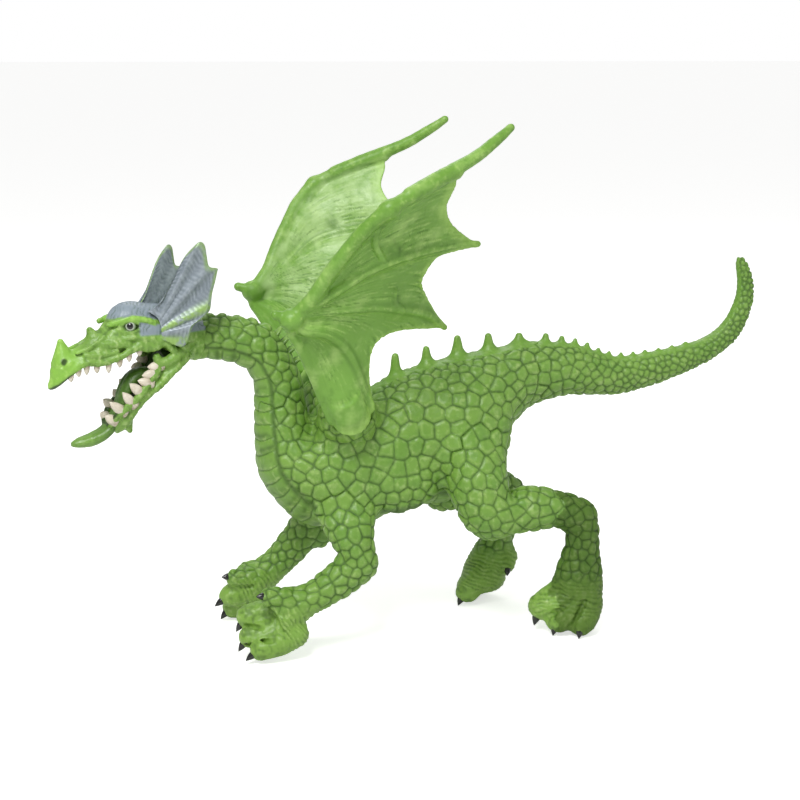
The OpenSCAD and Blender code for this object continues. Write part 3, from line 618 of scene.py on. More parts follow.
def body_relief(points, lines, seeds, tree, on_skin):
    """How far each point moves out, and the marks that its paint follows."""
    line, length, angle = lines.find(points)
    plate, edge = plate_edges(points, seeds, tree)
    x, y, z = points.T
    chance = ((plate * 7919) % 1009) / 1009.0
    # plates: a cut between neighbours, and a slightly domed top
    worn = 0.5 + 0.5 * noise(points, 2.6, 42)
    crack = 0.16 * noise(points, 0.9, 47)
    cut = 1 - smoothstep(0.04 + crack * 0.5, 0.26 + 0.26 * worn + crack, edge)
    dome = smoothstep(0.15, 1.3, edge)
    plates = 0.26 * dome - 0.34 * cut + 0.2 * (chance - 0.5) + 0.07 * noise(points, 1.5, 43)
    # feet: fine folds across the toes instead of plates
    top = np.where(x < 0, 15.5, 17.5)
    foot = (line > 0) * smoothstep(top + 2.5, top - 2.5, z + 1.2 * noise(points, 3.0, 3))
    fold = np.sin((length + 0.75 * noise(points, 2.6, 5)) * 2 * np.pi / 1.25) * (0.75 + 0.45 * noise(points,
        2.2, 7))
    fold = 0.9 * fold + 0.5 * noise(points * [1.0, 0.4, 0.6], 0.5, 6)
    folds = 0.17 * fold
    # scutes: cross bands that overlap downward
    zone, aside = scute_zone(points, line, angle)
    warp = 0.5 * noise(points, 4.0, 44)
    step = (length + 1.6 * np.cos(angle) + warp) / np.interp(length, [0, 30, 60, 100], [3.7, 4.1, 4.4, 5])
    t = step - np.floor(step)
    band = 0.62 * np.sqrt(np.clip(4 * t * (1 - t), 0, 1)) * (0.62 + 0.38 * (1 - t)) - 0.22
    side_cut = smoothstep(0.16, 0.02, np.abs(aside)) * (line == 0) * (x < 30)
    bands = band - 0.45 * side_cut
    # spines stay smooth
    spine = np.zeros(len(points))
    for sx, low, _, _, r in SPINES:
        spine = np.maximum(spine, (line == 0) * (np.abs(y) < r + 1) * (np.abs(x - sx) < r + 1)
                           * smoothstep(low - 0.6, low + 1.4, z))
    ridge = (line == 0) * smoothstep(-33, -30, x) * smoothstep(3.4, 2.2, np.abs(y)) * smoothstep(0.9, 0.5,
        angle)
    brushed = noise(points * [1, 1, 0.25], 0.6, 45)
    offset = plates * (1 - foot) + folds * foot
    offset = offset * (1 - zone) + bands * zone
    offset = offset - 0.3 * side_cut * (1 - zone)
    offset = offset * (1 - np.maximum(spine, 0.75 * ridge)) + 0.06 * brushed * np.maximum(spine, ridge)
    groove = np.maximum(cut * (0.62 + 0.38 * worn) * (1 - foot) * (1 - zone) * (1 - 0.8 * ridge),
        0.8 * side_cut)
    groove = np.maximum(groove, zone * np.maximum(smoothstep(0.07, 0.0, t),
        smoothstep(0.9, 0.99, t)) * (0.7 + 0.3 * worn))
    groove = np.maximum(groove, foot * smoothstep(-0.3, -1.0, fold) * 0.6) * (1 - spine)
    # Painted shade: a dark patch under the bulge of each band on the neck's front, added to the groove mark.
    smudge_and_shade = zone * np.exp(-((t - 0.66) / 0.2) ** 2) * smoothstep(-0.1, 0.5,
        noise(points, 2.6, 46)) * smoothstep(-30, -36, x)
    groove = np.maximum(groove, 0.75 * smudge_and_shade)
    sole = smoothstep(0.05, 0.6, z)
    offset = (offset + 0.05 * noise(points, 1.1, 9)) * on_skin * sole
    high = (dome * (1 - cut) * (1 - foot) * (1 - zone) * smoothstep(1.5, 0.7, edge) + foot * smoothstep(0.0,
        0.8, fold)
            + zone * smoothstep(0.6, 0.85, t) * smoothstep(0.98, 0.88, t))
    return offset, {"groove": groove * on_skin,
        "tone": chance * (1 - foot) * (1 - zone) + 0.4 * np.maximum(foot, zone),
                    "high": np.clip(high, 0, 1), "spine": np.maximum(spine, 0.75 * ridge), "foot": foot}


def body_pieces(materials):
    clay, trunk, legs = sculpt_body()
    points, _ = clay.mesh()
    lines = Lines()
    line, _, angle = lines.find(points)
    seeds = scatter_seeds(points, plate_spacing(points, line, angle))
    tree = tree_of(seeds)
    names = {"neck": "neck_skin", "tail": "tail_skin", "torso": "trunk_skin",
        "left_foreleg": "left_foreleg_skin",
             "right_foreleg": "right_foreleg_skin", "left_hindleg": "left_hind_leg_skin",
             "right_hindleg": "right_hind_leg_skin"}
    for node, (window, field) in split_body(clay, trunk, legs, seeds).items():
        points, quads = clay.mesh(field, window)
        normals = clay.gradient(points)
        on_skin = smoothstep(0.35, 0.12, np.abs(clay.at(points)))
        offset, marks = body_relief(points, lines, seeds, tree, on_skin)
        piece = make_piece(names[node], points + normals * offset[:, None], quads, materials["skin"], marks)
        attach(piece, "figure")
        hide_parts(node)
    return clay


# ------------------------------------------------------------------ head, sculpted in its own frame
SKULL = [
    [2.5, 6.4, 0.5, -6, 0, 6.4], [-1, 7.6, -3, -5, 0, 7.2], [-4.5, 9, -6.5, -3, 0, 7.8],
        [-10.5, 11.2, -11.5, -2, 0, 7.6],
    [-15.5, 11.4, -17, -1.4, 0, 7.1], [-21, 11.4, -21.5, -2.2, 0, 6.3], [-25.3, 7.6, -25, -3.4, 0, 5.6],
    [-29.5, 3.2, -29, -4.2, 0, 5.1], [-33.5, 0.4, -33, -4.2, 0, 4.6], [-37.3, -0.8, -37, -6.2, 0, 4.1],
    [-40.2, -2.4, -40, -8, 0, 3.2], [-42, -5.2, -41.4, -9.2, 0, 1.8],
]
JAW = [
    [-3, -1.5, -1, -4.2, 0, 5], [-8.5, -2, -5, -5.4, 0, 6.4], [-12, -4.5, -8.2, -8.2, 0, 6.8],
        [-14.6, -8.6, -11, -11.8, 0, 6.8],
    [-17.4, -11.9, -14.2, -14.8, 0, 6.6], [-20.3, -14.6, -17.4, -17.8, 0, 6.1],
        [-23.3, -17.3, -19.6, -21.2, 0, 5.3],
    [-26, -20, -21.8, -24, 0, 4.2], [-26.6, -22.6, -24, -25, 0, 2.6],
]
TROUGH = [
    [-13, 2, -9.8, -5.4, 0, 4.6], [-17, -2, -12.4, -9.2, 0, 5.3], [-20, -7, -15, -12.8, 0, 5.3],
    [-23, -11, -18.2, -16, 0, 5], [-26, -14.5, -21.4, -19.4, 0, 4.4], [-29.6, -18, -24.2, -22.4, 0, 3.4],
]
TONGUE = [
    [-14.5, -6.4, -13.6, -9.4, 0, 3], [-18.4, -6.9, -16.2, -10.8, 0, 3.2], [-21.2, -9, -18.4, -12.8, 0, 3.4],
    [-23.2, -12.6, -19.8, -15.2, 0, 3.5], [-24.2, -16.6, -21.2, -18.6, 0, 3.5],
        [-26.4, -20.6, -23.8, -22.8, 0, 3.4],
    [-28.6, -22.8, -26.8, -26, 0, 3.2], [-32, -24.2, -31, -27.9, 0, 2.8], [-35.4, -25.2, -35.2, -28, 0, 2],
    [-37.2, -26.2, -37.4, -27.5, 0, 0.9],
]
EYE = np.array([-20.8, 5.6, 6.3])
EYE_RADIUS = 1.6
UPPER_LIP = [
    [-13.3, 6.6, 0.1, 1], [-16.2, 6.5, -0.3, 1], [-18.8, 6.3, 0.4, 1], [-21.5, 6.1, -0.7, 1],
        [-24.3, 5.7, -2.2, 1],
    [-29.7, 5, -3.5, 1], [-34.1, 4.4, -3.4, 1], [-38.1, 3.3, -5.9, 1], [-41, 1.6, -8.6, 1],
        [-42, 0, -9.4, 0.9],
]
JAW_RIM = [
    [-13.6, 6.3, -3, 1.2], [-13.3, 6.5, -6, 1.2], [-15.8, 6.5, -9.9, 1.1], [-18.4, 6.3, -13, 1.1],
        [-21.1, 5.8, -15.5, 1.1],
    [-23.8, 5, -17.9, 1.1], [-25.8, 3.6, -20.3, 1.1], [-26.4, 1.8, -22.2, 1.1], [-26.5, 0, -22.8, 1.1],
]
# Brow ridge: x, z, y
BROW = [[-26.6, 6.9, 4], [-23.2, 7.9, 5.3], [-20.5, 8.6, 6], [-16.9, 8.1, 6.6], [-14.2, 7.1, 7]]
UPPER_TEETH = [[-18.6, -0.6, 1.2], [-21.5, -1.6, 1.7], [-24.2, -3.1, 1.6], [-27.3, -4.1, 2],
    [-30.6, -4.4, 1.5],
               [-33.4, -4.3, 1.9], [-35.6, -5.2, 1.5], [-37.7, -6.6, 1.4]]
# Lower teeth: foot x, z and tip x, z
LOWER_TEETH = [[-12.8, -5.5, -16, -5.9], [-14.5, -7.6, -17.6, -8.2], [-15.9, -10.1, -19.1, -9.6],
    [-18.7, -12.5, -21.6, -10.4],
               [-20.9, -15.6, -23.7, -12.8], [-23.7, -17.7, -27.2, -15.4], [-25.8, -20.6, -28.2, -19.4]]


def both(rows):
    """Rows with y in the second place, for the left side and then for the right one."""
    rows = np.array(rows, float)
    return [rows * np.array([1, s] + [1] * (rows.shape[1] - 2)) for s in (-1, 1)]


def sculpt_skull():
    clay = Clay([-46, -13, -17], [7, 13, 17], FINE)
    loft(clay, SKULL, 0, sides=44)
    clay.ball([-19, 0, 8], [6, 5, 4.2], 2)                                          # crown
    clay.limb([-38.5, 0, -3], [-39.3, 0, 2.5], 3.7, 0.95, 1.2)                      # nose, rising to a horn
    clay.limb([-29.8, 0, 2.6], [-30.7, 0, 5.2], 2.4, 0.95, 1.2)
    clay.limb([-40.8, 0, -6.5], [-42.8, 0, -10.1], 1.7, 0.5, 1.6)                   # beak
    clay.chain([[-24, 0, 6, 1.4], [-29.5, 0, 2.2, 1.2], [-34.5, 0, -1.2, 1.4]], 2)  # bridge
    for rows in both(UPPER_LIP):
        clay.chain(rows, 1.0)
    for s in (-1, 1):
        clay.ball([-15, s * 6.4, 1.4], [4.6, 1.3, 1.8], 1.4)                        # cheek
        clay.chain([[-12, s * 7, 2.2, 1], [-9.6, s * 7.2, -0.4, 1.1], [-7.4, s * 7, -3, 1]], 0.8)
        clay.chain([[-8.6, s * 7.3, 3.4, 0.9], [-6.6, s * 7.3, 0.6, 1], [-4.8, s * 6.8, -2.4, 0.9]], 0.8)
        clay.ball([-20.9, s * 6.9, 6.3], [2.6, 1.7, 2], 1, cut=True)                # eye socket
        clay.chain([[x, s * y, z, r] for (x, z, y), r in zip(BROW, (0.7, 0.85, 0.95, 0.85, 0.6))], 0.6)
        # lower lid
        clay.chain([[-23.6, s * 5, 5.3, 0.5], [-21.2, s * 6, 4.6, 0.65], [-18.6, s * 6.5, 5.2, 0.5]], 0.4)
        # upper lid
        clay.chain([[-23.6, s * 5, 6.6, 0.5], [-21, s * 6, 7.7, 0.6], [-18.6, s * 6.4, 7, 0.5]], 0.4)
        clay.chain([[-23, s * 5.8, 2.8, 0.7], [-19.2, s * 6.6, 3.2, 0.8], [-15.6, s * 7, 2.6, 0.8],
            [-13.6, s * 7.1, 1.8, 0.6]], 0.5)
        # folds of the snout
        clay.chain([[-28.5, s * 4.6, 1.6, 0.8], [-25, s * 5.4, 1.4, 1], [-21.4, s * 6, 1.2, 0.8]], 0.8)
        clay.chain([[-33.6, s * 4.2, -1.2, 0.7], [-29.6, s * 4.9, -1.4, 0.8], [-25, s * 5.6, -0.6, 0.7]], 0.6)
        clay.chain([[-36, s * 3.6, -0.4, 0.6], [-32, s * 4, 1, 0.7], [-28, s * 4, 3.6, 0.6]], 0.6)
        # nostril
        clay.limb([-40.4, s * 3.5, -3.7], [-38.5, s * 3.9, -1.7], 0.75, 0.65, 0.3, cut=True)
    # palate
    clay.chain([[-10, 0, -5.5, 4], [-20, 0, -6.6, 4.2], [-28, 0, -8.4, 3.6], [-35, 0, -9.4, 2.7]], 0.8,
        cut=True)
    return clay


def sculpt_jaw():
    clay = Clay([-31, -11, -33], [4, 11, 3], FINE)
    loft(clay, JAW, 0, sides=44)
    loft(clay, TROUGH, 0.8, cut=True, sides=40)
    for rows in both(JAW_RIM):
        clay.chain(rows, 0.9)
    clay.limb([-21, -0.5, -22.3], [-20.2, -0.8, -24.4], 1.8, 0.8, 1.2)             # beard
    for s in (-1, 1):
        clay.chain([[-4.5, s * 6, -4, 1.1], [-9.5, s * 6.8, -7.8, 1.1], [-14, s * 6.7, -12, 1]], 1)
        clay.chain([[-3, s * 5.6, 0.5, 1.8], [-7.5, s * 6.6, -2.8, 1.7], [-11, s * 6.6, -4.6, 1.4]], 1.4)
    return clay


def sculpt_tongue():
    clay = Clay([-42, -6, -31], [-9, 6, -5], FINE)
    loft(clay, TONGUE, 0, sides=32)
    clay.chain([[-20.8, 0, -8.3, 0.4], [-24, 0, -13.5, 0.5], [-25.4, 0, -18.6, 0.5], [-30, 0, -23.1, 0.45],
        [-35.5, 0, -24.8, 0.3]], 0.6,
               cut=True)
    return clay


def head_marks(points):
    """Relief and paint marks of the head: folds, the silver crown and the bright nose."""
    x, y, z = points.T
    fold = noise(points * [1.0, 0.35, 0.5], 0.8, 11) + 0.6 * noise(points * [1.0, 0.5, 0.8], 0.45, 12)
    plate = noise(points, 2.2, 13)
    hatch = np.sin((x * 0.85 + 0.5 * np.abs(y) + 0.9 * noise(points, 1.8,
        14)) * 2 * np.pi / 1.1) * (0.55 + 0.45 * noise(points, 1.4, 17))
    nose = smoothstep(-32.5, -36.5, x + 0.8 * noise(points, 2.5, 15))
    brow_z = np.interp(x, [r[0] for r in BROW] + [-6], [r[1] for r in BROW] + [6.4])
    crown = smoothstep(0.5, 1.1, z - brow_z) * smoothstep(-26.4, -25, x)
    crown = np.maximum(crown, smoothstep(-19, -18.2, x) * smoothstep(3.2, 3.9, z) * smoothstep(-0.2, -0.8,
        z - brow_z))
    brow = smoothstep(1.1, 0.7, np.abs(z - brow_z + 0.1)) * smoothstep(-27.5, -26.5, x) * smoothstep(-13,
        -14.5, x) * (np.abs(y) > 3.4)
    crown = crown * (1 - brow)
    rest = (1 - nose) * (1 - crown)
    offset = (0.13 * fold + 0.08 * plate) * rest + 0.09 * hatch * crown + 0.03 * fold * nose
    groove = smoothstep(-0.3, -1.0, fold) * rest * 0.7 + smoothstep(-0.2, -0.9, hatch) * crown
    high = smoothstep(0.0, 0.9, fold) * rest + smoothstep(0.1, 0.9, hatch) * crown
    return offset, {"groove": groove, "high": high, "nose": np.maximum(nose, brow), "silver": crown,
        "tone": 0.5 + 0.4 * plate}


def head_pieces(materials):
    skull = sculpt_skull()
    points, quads = skull.mesh()
    normals = skull.gradient(points, 0.3)
    offset, marks = head_marks(points)
    x, y, z = points.T
    # Painted shade: darker paint on the roof of the mouth, in the eye sockets and in the nostrils.
    inside = smoothstep(0.25, 0.55, -normals[:, 2]) * smoothstep(4.6, 3.9, np.abs(y)) * (x < -10) * (z < 0)
    socket = smoothstep(2.5, 1.8, np.linalg.norm((points - EYE * [1, 0, 1]) * [0.95, 0, 1.35], axis=1)) \
        * smoothstep(6.9, 6.1, np.abs(y)) * (np.abs(y) > 4)
    pit = smoothstep(1.2, 0.6, np.linalg.norm((points - [-39.4, 0, -2.7]) * [1, 0, 0.9], axis=1)) \
        * smoothstep(3.7, 3.1, np.abs(y)) * (np.abs(y) > 2)
    marks["recess_shade"] = np.maximum(np.maximum(inside, 0.75 * socket), pit)
    skull_piece = make_piece("skull_skin", head_out(points + normals * offset[:, None]), quads,
        materials["head"], marks)

    jaw = sculpt_jaw()
    points, quads = jaw.mesh()
    normals = jaw.gradient(points, 0.3)
    offset, marks = head_marks(points)
    x, y, z = points.T
    # Painted shade: darker paint on the inside of the lower jaw.
    inside = smoothstep(0.1, 0.5, normals[:, 2] - 0.5 * normals[:, 0]) * smoothstep(5.9, 5.0,
        np.abs(y)) * (x < -7)
    marks["recess_shade"] = inside
    marks["silver"] = np.zeros(len(points))
    marks["nose"] = np.zeros(len(points))
    jaw_piece = make_piece("lower_jaw_skin", head_out(points + normals * offset[:, None]), quads,
        materials["head"], marks)

    tongue = sculpt_tongue()
    points, quads = tongue.mesh()
    normals = tongue.gradient(points, 0.3)
    offset = 0.05 * noise(points, 0.6, 21)
    # Painted shade: the tongue is dark green where it lies inside the mouth and lighter toward the tip.
    marks = {"tip": smoothstep(-24, -33, points[:, 0]), "high": smoothstep(0.0, 0.7, noise(points, 0.9, 22))}
    tongue_piece = make_piece("tongue_skin", head_out(points + normals * offset[:, None]), quads,
        materials["tongue"], marks)
    for piece, node in ((skull_piece, "skull"), (jaw_piece, "lower_jaw"), (tongue_piece, "tongue")):
        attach(piece, "figure")
        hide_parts(node)


def sphere_rows(rings=24, sides=36):
    """Rings of points on a ball of radius one, without its poles, which lie on the Y axis."""
    a = np.linspace(0, np.pi, rings + 1)[1:-1]
    b = np.linspace(0, 2 * np.pi, sides, endpoint=False)
    return np.stack([np.outer(np.sin(a), np.cos(b)), np.repeat(np.cos(a)[:, None], sides, 1),
                     np.outer(np.sin(a), np.sin(b))], -1)


def eye_piece(materials):
    points, tris, look = [], [], []
    for s in (-1, 1):
        rows = sphere_rows()
        n, m = rows.shape[:2]
        base = len(points)
        p = np.vstack([rows.reshape(-1, 3), [[0, 1, 0], [0, -1, 0]]])
        look.extend(p @ (np.array([-0.42, 0.86 * s, 0.18]) / np.linalg.norm([-0.42, 0.86, 0.18])))
        points.extend(p * EYE_RADIUS + EYE * [1, s, 1])
        i, k = np.arange(m), (np.arange(m) + 1) % m
        for j in range(n - 1):
            a, b, c, d = j * m + i, j * m + k, (j + 1) * m + k, (j + 1) * m + i
            tris.extend(np.concatenate([np.stack([a, b, c], 1), np.stack([a, c, d], 1)]) + base)
        tris.extend(np.stack([np.full(m, n * m), k, i], 1) + base)
        tris.extend(np.stack([np.full(m, n * m + 1), (n - 1) * m + i, (n - 1) * m + k], 1) + base)
    points, tris = np.array(points), np.array(tris)
    a, b, c = (points[tris[:40, i]] for i in range(3))
    if np.einsum("ij,ij->", np.cross(b - a, c - a), a - EYE * [1, -1, 1]) < 0:
        tris = tris[:, ::-1]
    look = np.array(look)
    piece = make_piece("eyeballs", head_out(points), tris, materials["eye"], {
        "pupil": smoothstep(0.76, 0.82, look), "glint": smoothstep(0.6, 0.66, look) * smoothstep(0.84, 0.78,
            look)})
    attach(piece, "figure")
    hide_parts("eyes")


# ------------------------------------------------------------------ frills
# A frill's outline and the line of its root, [x, z, y] in the head's frame.
FRILL_EDGE = [
    [-13.2, 10.5, 6.8], [-12.3, 12.3, 7.2], [-11.3, 14.0, 7.6], [-8.8, 19.5, 8.9], [-6.3, 24.9, 10.0],
        [-3.4, 28.4, 11.3],
    [-1.9, 29.5, 11.9], [-0.7, 28.4, 12.2], [-0.2, 25.3, 12.3], [0.4, 22.5, 12.4], [2.7, 21.9, 12.8],
        [2.6, 20.8, 12.8],
    [1.9, 17.9, 12.7], [1.1, 15.0, 12.5], [0.7, 12.3, 12.5], [0.3, 10.2, 12.4], [-0.9, 8.8, 12.1],
        [-2.6, 7.4, 11.6],
    [-4.2, 5.9, 10.9], [-5.2, 3.2, 10.5], [-5.9, 1.1, 10.2], [-7.0, 0.0, 9.7], [-8.4, 0.3, 9.1],
        [-9.8, 0.7, 8.4],
]
FRILL_ROOT = [[-15.4, 10.2, 5.6], [-13.4, 8.6, 7], [-12.6, 6.6, 7.6], [-12.4, 4.6, 7.7], [-12, 2.2, 7.4]]
# Where the ribs lie, as a share of the fan's turn.
RIBS = [0.06, 0.36, 0.5, 0.71, 0.84, 0.96]


def frill_mesh(side, grow):
    """A fan with thick ribs, thin between them, with fine barbs across: points, quads and marks."""
    edge, root = curve(FRILL_EDGE, 6), curve(FRILL_ROOT, 24)
    length = np.concatenate([[0], np.cumsum(np.linalg.norm(np.diff(edge, axis=0), axis=1))])
    n, m = 150, 64
    t = np.linspace(0, 1, n)
    outer = np.stack([np.interp(t * length[-1], length, edge[:, i]) for i in range(3)], 1)
    inner = np.stack([np.interp(t, np.linspace(0, 1, len(root)), root[:, i]) for i in range(3)], 1)
    s = np.linspace(0, 1, m)
    grid = inner[:, None] * (1 - s)[None, :, None] + outer[:, None] * s[None, :, None]
    grid = grid[0, 0] + (grid - grid[0, 0]) * np.where(s[None, :, None] > 0, grow, 1)
    grid = grid[..., [0, 2, 1]]                                      # to x, y, z
    reach = np.linalg.norm(grid - grid[:, :1], axis=-1)
    width = np.min(np.abs(t[:, None] - np.array(RIBS)[None]), axis=1)[:, None] * (8 + 34 * s[None])
    ridge = np.exp(-(width / 1.15) ** 2)
    rough = noise(grid.reshape(-1, 3), 1.6, 51).reshape(reach.shape)
    barb = np.sin(reach * 2 * np.pi / 1.35 + width * 2.4 + 1.6 * rough) * (0.65 + 0.35 * rough)
    thin = 0.32 + 0.62 * ridge * (1 - 0.3 * s[None]) + 0.09 * barb * (1 - 0.3 * ridge)
    thin = thin * smoothstep(1.0, 0.93, s)[None] + 0.12
    bow = -0.5 * (1 - ridge) * np.sin(np.pi * s)[None]
    way = np.cross(grid[-1, -1] - grid[0, 0], grid[n // 3, -1] - grid[0, 0])
    way = way / np.linalg.norm(way)
    if way[1] < 0:
        way = -way
    front = grid + way * (bow + thin)[..., None]
    back = grid + way * (bow - thin)[..., None]
    points = np.vstack([front.reshape(-1, 3), back.reshape(-1, 3)])
    count = n * m
    i, j = np.meshgrid(np.arange(n - 1), np.arange(m - 1), indexing="ij")
    a = (i * m + j).ravel()
    quads = [np.stack([a, a + 1, a + m + 1, a + m], 1), np.stack([a + count, a + m + count, a + m + 1 + count,
        a + 1 + count], 1)]
    loop = np.concatenate([np.arange(m - 1), np.arange(n - 1) * m + m - 1,
        (n - 1) * m + np.arange(m - 1, 0, -1),
                           np.arange(n - 1, 0, -1) * m])
    follow = np.roll(loop, -1)
    quads.append(np.stack([loop, loop + count, follow + count, follow], 1))
    quads = np.concatenate(quads)
    if side > 0:
        points[:, 1] = -4.6 + (points[:, 1] + 4.6) * 0.5 if points[:,
            1].mean() < 0 else 4.6 + (points[:, 1] - 4.6) * 0.5
    points[:, 1] *= side
    if volume(points, quads) < 0:
        quads = quads[:, ::-1]
    lime = np.maximum(0.7 * smoothstep(0.9, 0.98, s)[None], smoothstep(0.86, 0.93, t)[:, None])
    lime = np.maximum(lime, ridge * (np.abs(t[:, None] - 0.71) < 0.07))
    marks = {"groove": smoothstep(0.1, -0.7, barb) * (1 - ridge * 0.6),
        "high": np.maximum(smoothstep(0.3, 0.9, barb), ridge * 0.8),
             "lime": lime}
    return points, quads, {k: np.tile(v.ravel(), 2) for k, v in marks.items()}


def volume(points, quads):
    a, b, c, d = (points[quads[:, i]] for i in range(4))
    return (np.einsum("ij,ij->", a, np.cross(b, c)) + np.einsum("ij,ij->", a, np.cross(c, d))) / 6


def frill_pieces(materials):
    for side, name, grow in ((-1, "left", 1.0), (1, "right", 0.87)):
        points, quads, marks = frill_mesh(side, grow)
        piece = make_piece(name + "_ear_frill", head_out(points), quads, materials["frill"], marks)
        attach(piece, "figure")
        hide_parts(name + "_frill")


# ------------------------------------------------------------------ wings
WRIST = [-44.6, -29.5, 101.5]
WING_RIBS = [
    [WRIST, [-39.7, -32.5, 107.0], [-35.6, -36.5, 114.5], [-31.5, -40.5, 121.0], [-27.4, -44.0, 126.9],
     [-20.7, -46.5, 132.9], [-8.3, -42.5, 138.8], [-0.9, -39.5, 141.4]],
    [WRIST, [-37.8, -32.0, 106.0], [-30.8, -35.0, 110.8], [-25.5, -37.0, 114.5], [-19.4, -37.5, 117.1],
     [-10.0, -34.5, 119.2], [-0.2, -30.0, 120.1], [9.7, -26.0, 120.2]],
    [WRIST, [-37.3, -31.0, 103.4], [-29.5, -31.5, 103.9], [-21.5, -30.0, 103.9], [-12.9, -26.5, 102.5],
     [-3.2, -20.0, 99.6], [3.9, -13.0, 94.7]],
    [WRIST, [-41.7, -30.5, 98.2], [-35.5, -30.0, 97.0], [-30.2, -28.0, 93.4], [-26.4, -25.0, 87.9],
     [-23.4, -22.0, 80.6], [-20.1, -19.4, 73.5]],
    [WRIST, [-45.2, -29.5, 97.6], [-42.8, -28.5, 93.7], [-40.2, -26.5, 88.8],
     [-36.7, -23.5, 81.5], [-34.1, -21.5, 75.3], [-31.8, -20.2, 70.2]],
]
WING_EDGES = [
    [[-0.9, -39.5, 141.4], [-0.7, -38.0, 137.6], [-2.5, -36.0, 132.3], [-0.6, -33.0, 127.6],
        [3.6, -30.0, 123.9],
     [9.7, -26.0, 120.2]],
    [[9.7, -26.0, 120.2], [2.1, -29.0, 118.8], [-3.6, -30.0, 117.2], [-7.1, -28.0, 111.1],
        [-5.1, -23.5, 106.7],
     [-1.0, -18.0, 101.2], [3.9, -13.0, 94.7]],
    [[3.9, -13.0, 94.7], [-2.6, -17.5, 95.3], [-9.1, -21.0, 95.9], [-15.4, -23.5, 95.4], [-19.9, -24.5, 92.6],
     [-21.1, -22.5, 86.3], [-20.4, -20.5, 79.6], [-20.1, -19.4, 73.5]],
    [[-20.1, -19.4, 73.5], [-21.0, -20.6, 70.0], [-24.2, -21.4, 67.1], [-27.7, -21.6, 66.8],
        [-30.3, -21.2, 67.7], [-31.8, -20.2, 70.2]],
]
FIRST_FINGER = [[-14.9, -45.0, 136.0, 2.0],
                [-8.3, -42.5, 139.0, 2.0], [-1.5, -39.8, 142.0, 1.9], [6.1, -36.5, 145.5, 1.7],
                    [12.0, -34.0, 149.2, 1.5], [17.1, -32.0, 152.8, 1.15]]
SPURS = [
    [[-20.4, -45.6, 131.4, 1.2], [-23.6, -44, 127.8, 1.1], [-23.9, -41.4, 122.6, 1],
        [-21, -38.6, 117.8, 0.9]],
    [[-13.5, -35.6, 118.4, 1], [-17.6, -38, 120.4, 0.9], [-19.4, -39.6, 123.8, 0.6]],
    [[-12.9, -27, 102.6, 1], [-15.4, -29.4, 105, 0.9], [-15.6, -31, 108.6, 0.6]],
]
WING_FACE = np.array([-0.29, 0.87, 0.4])


def wing_grid(steps=60, columns=44):
    """The membrane's middle surface: rows from the wrist to the edge, with s, the sector and t."""
    ribs, edges = [curve(r, 12) for r in WING_RIBS], [curve(e, 12) for e in WING_EDGES]

    def along(points, s):
        f = s * (len(points) - 1)
        return np.stack([np.interp(f, np.arange(len(points)), points[:, i]) for i in range(3)], -1)

    s = np.linspace(0.0, 1, steps)
    rows, marks = [], []
    for k in range(len(edges)):
        for t in np.linspace(0, 1, columns, endpoint=k == len(edges) - 1):
            a, b = along(ribs[k], s), along(ribs[k + 1], s)
            end = a[-1] * (1 - t) + b[-1] * t
            line = a * (1 - t) + b * t + (along(edges[k], np.array([t]))[0] - end) * s[:, None] ** 3
            sag = (1.5, 1.4, 1.2, 1.6)[k] * 16 * (t * (1 - t)) ** 2 * np.sin(np.pi * np.clip(s, 0,
                1)) * (1 if k < 3 else s < 0.8)
            rows.append(line + WING_FACE * sag[:, None])
            marks.append(np.stack([s, np.full(steps, k), np.full(steps, t)], -1))
    return np.stack(rows, 1), np.stack(marks, 1)


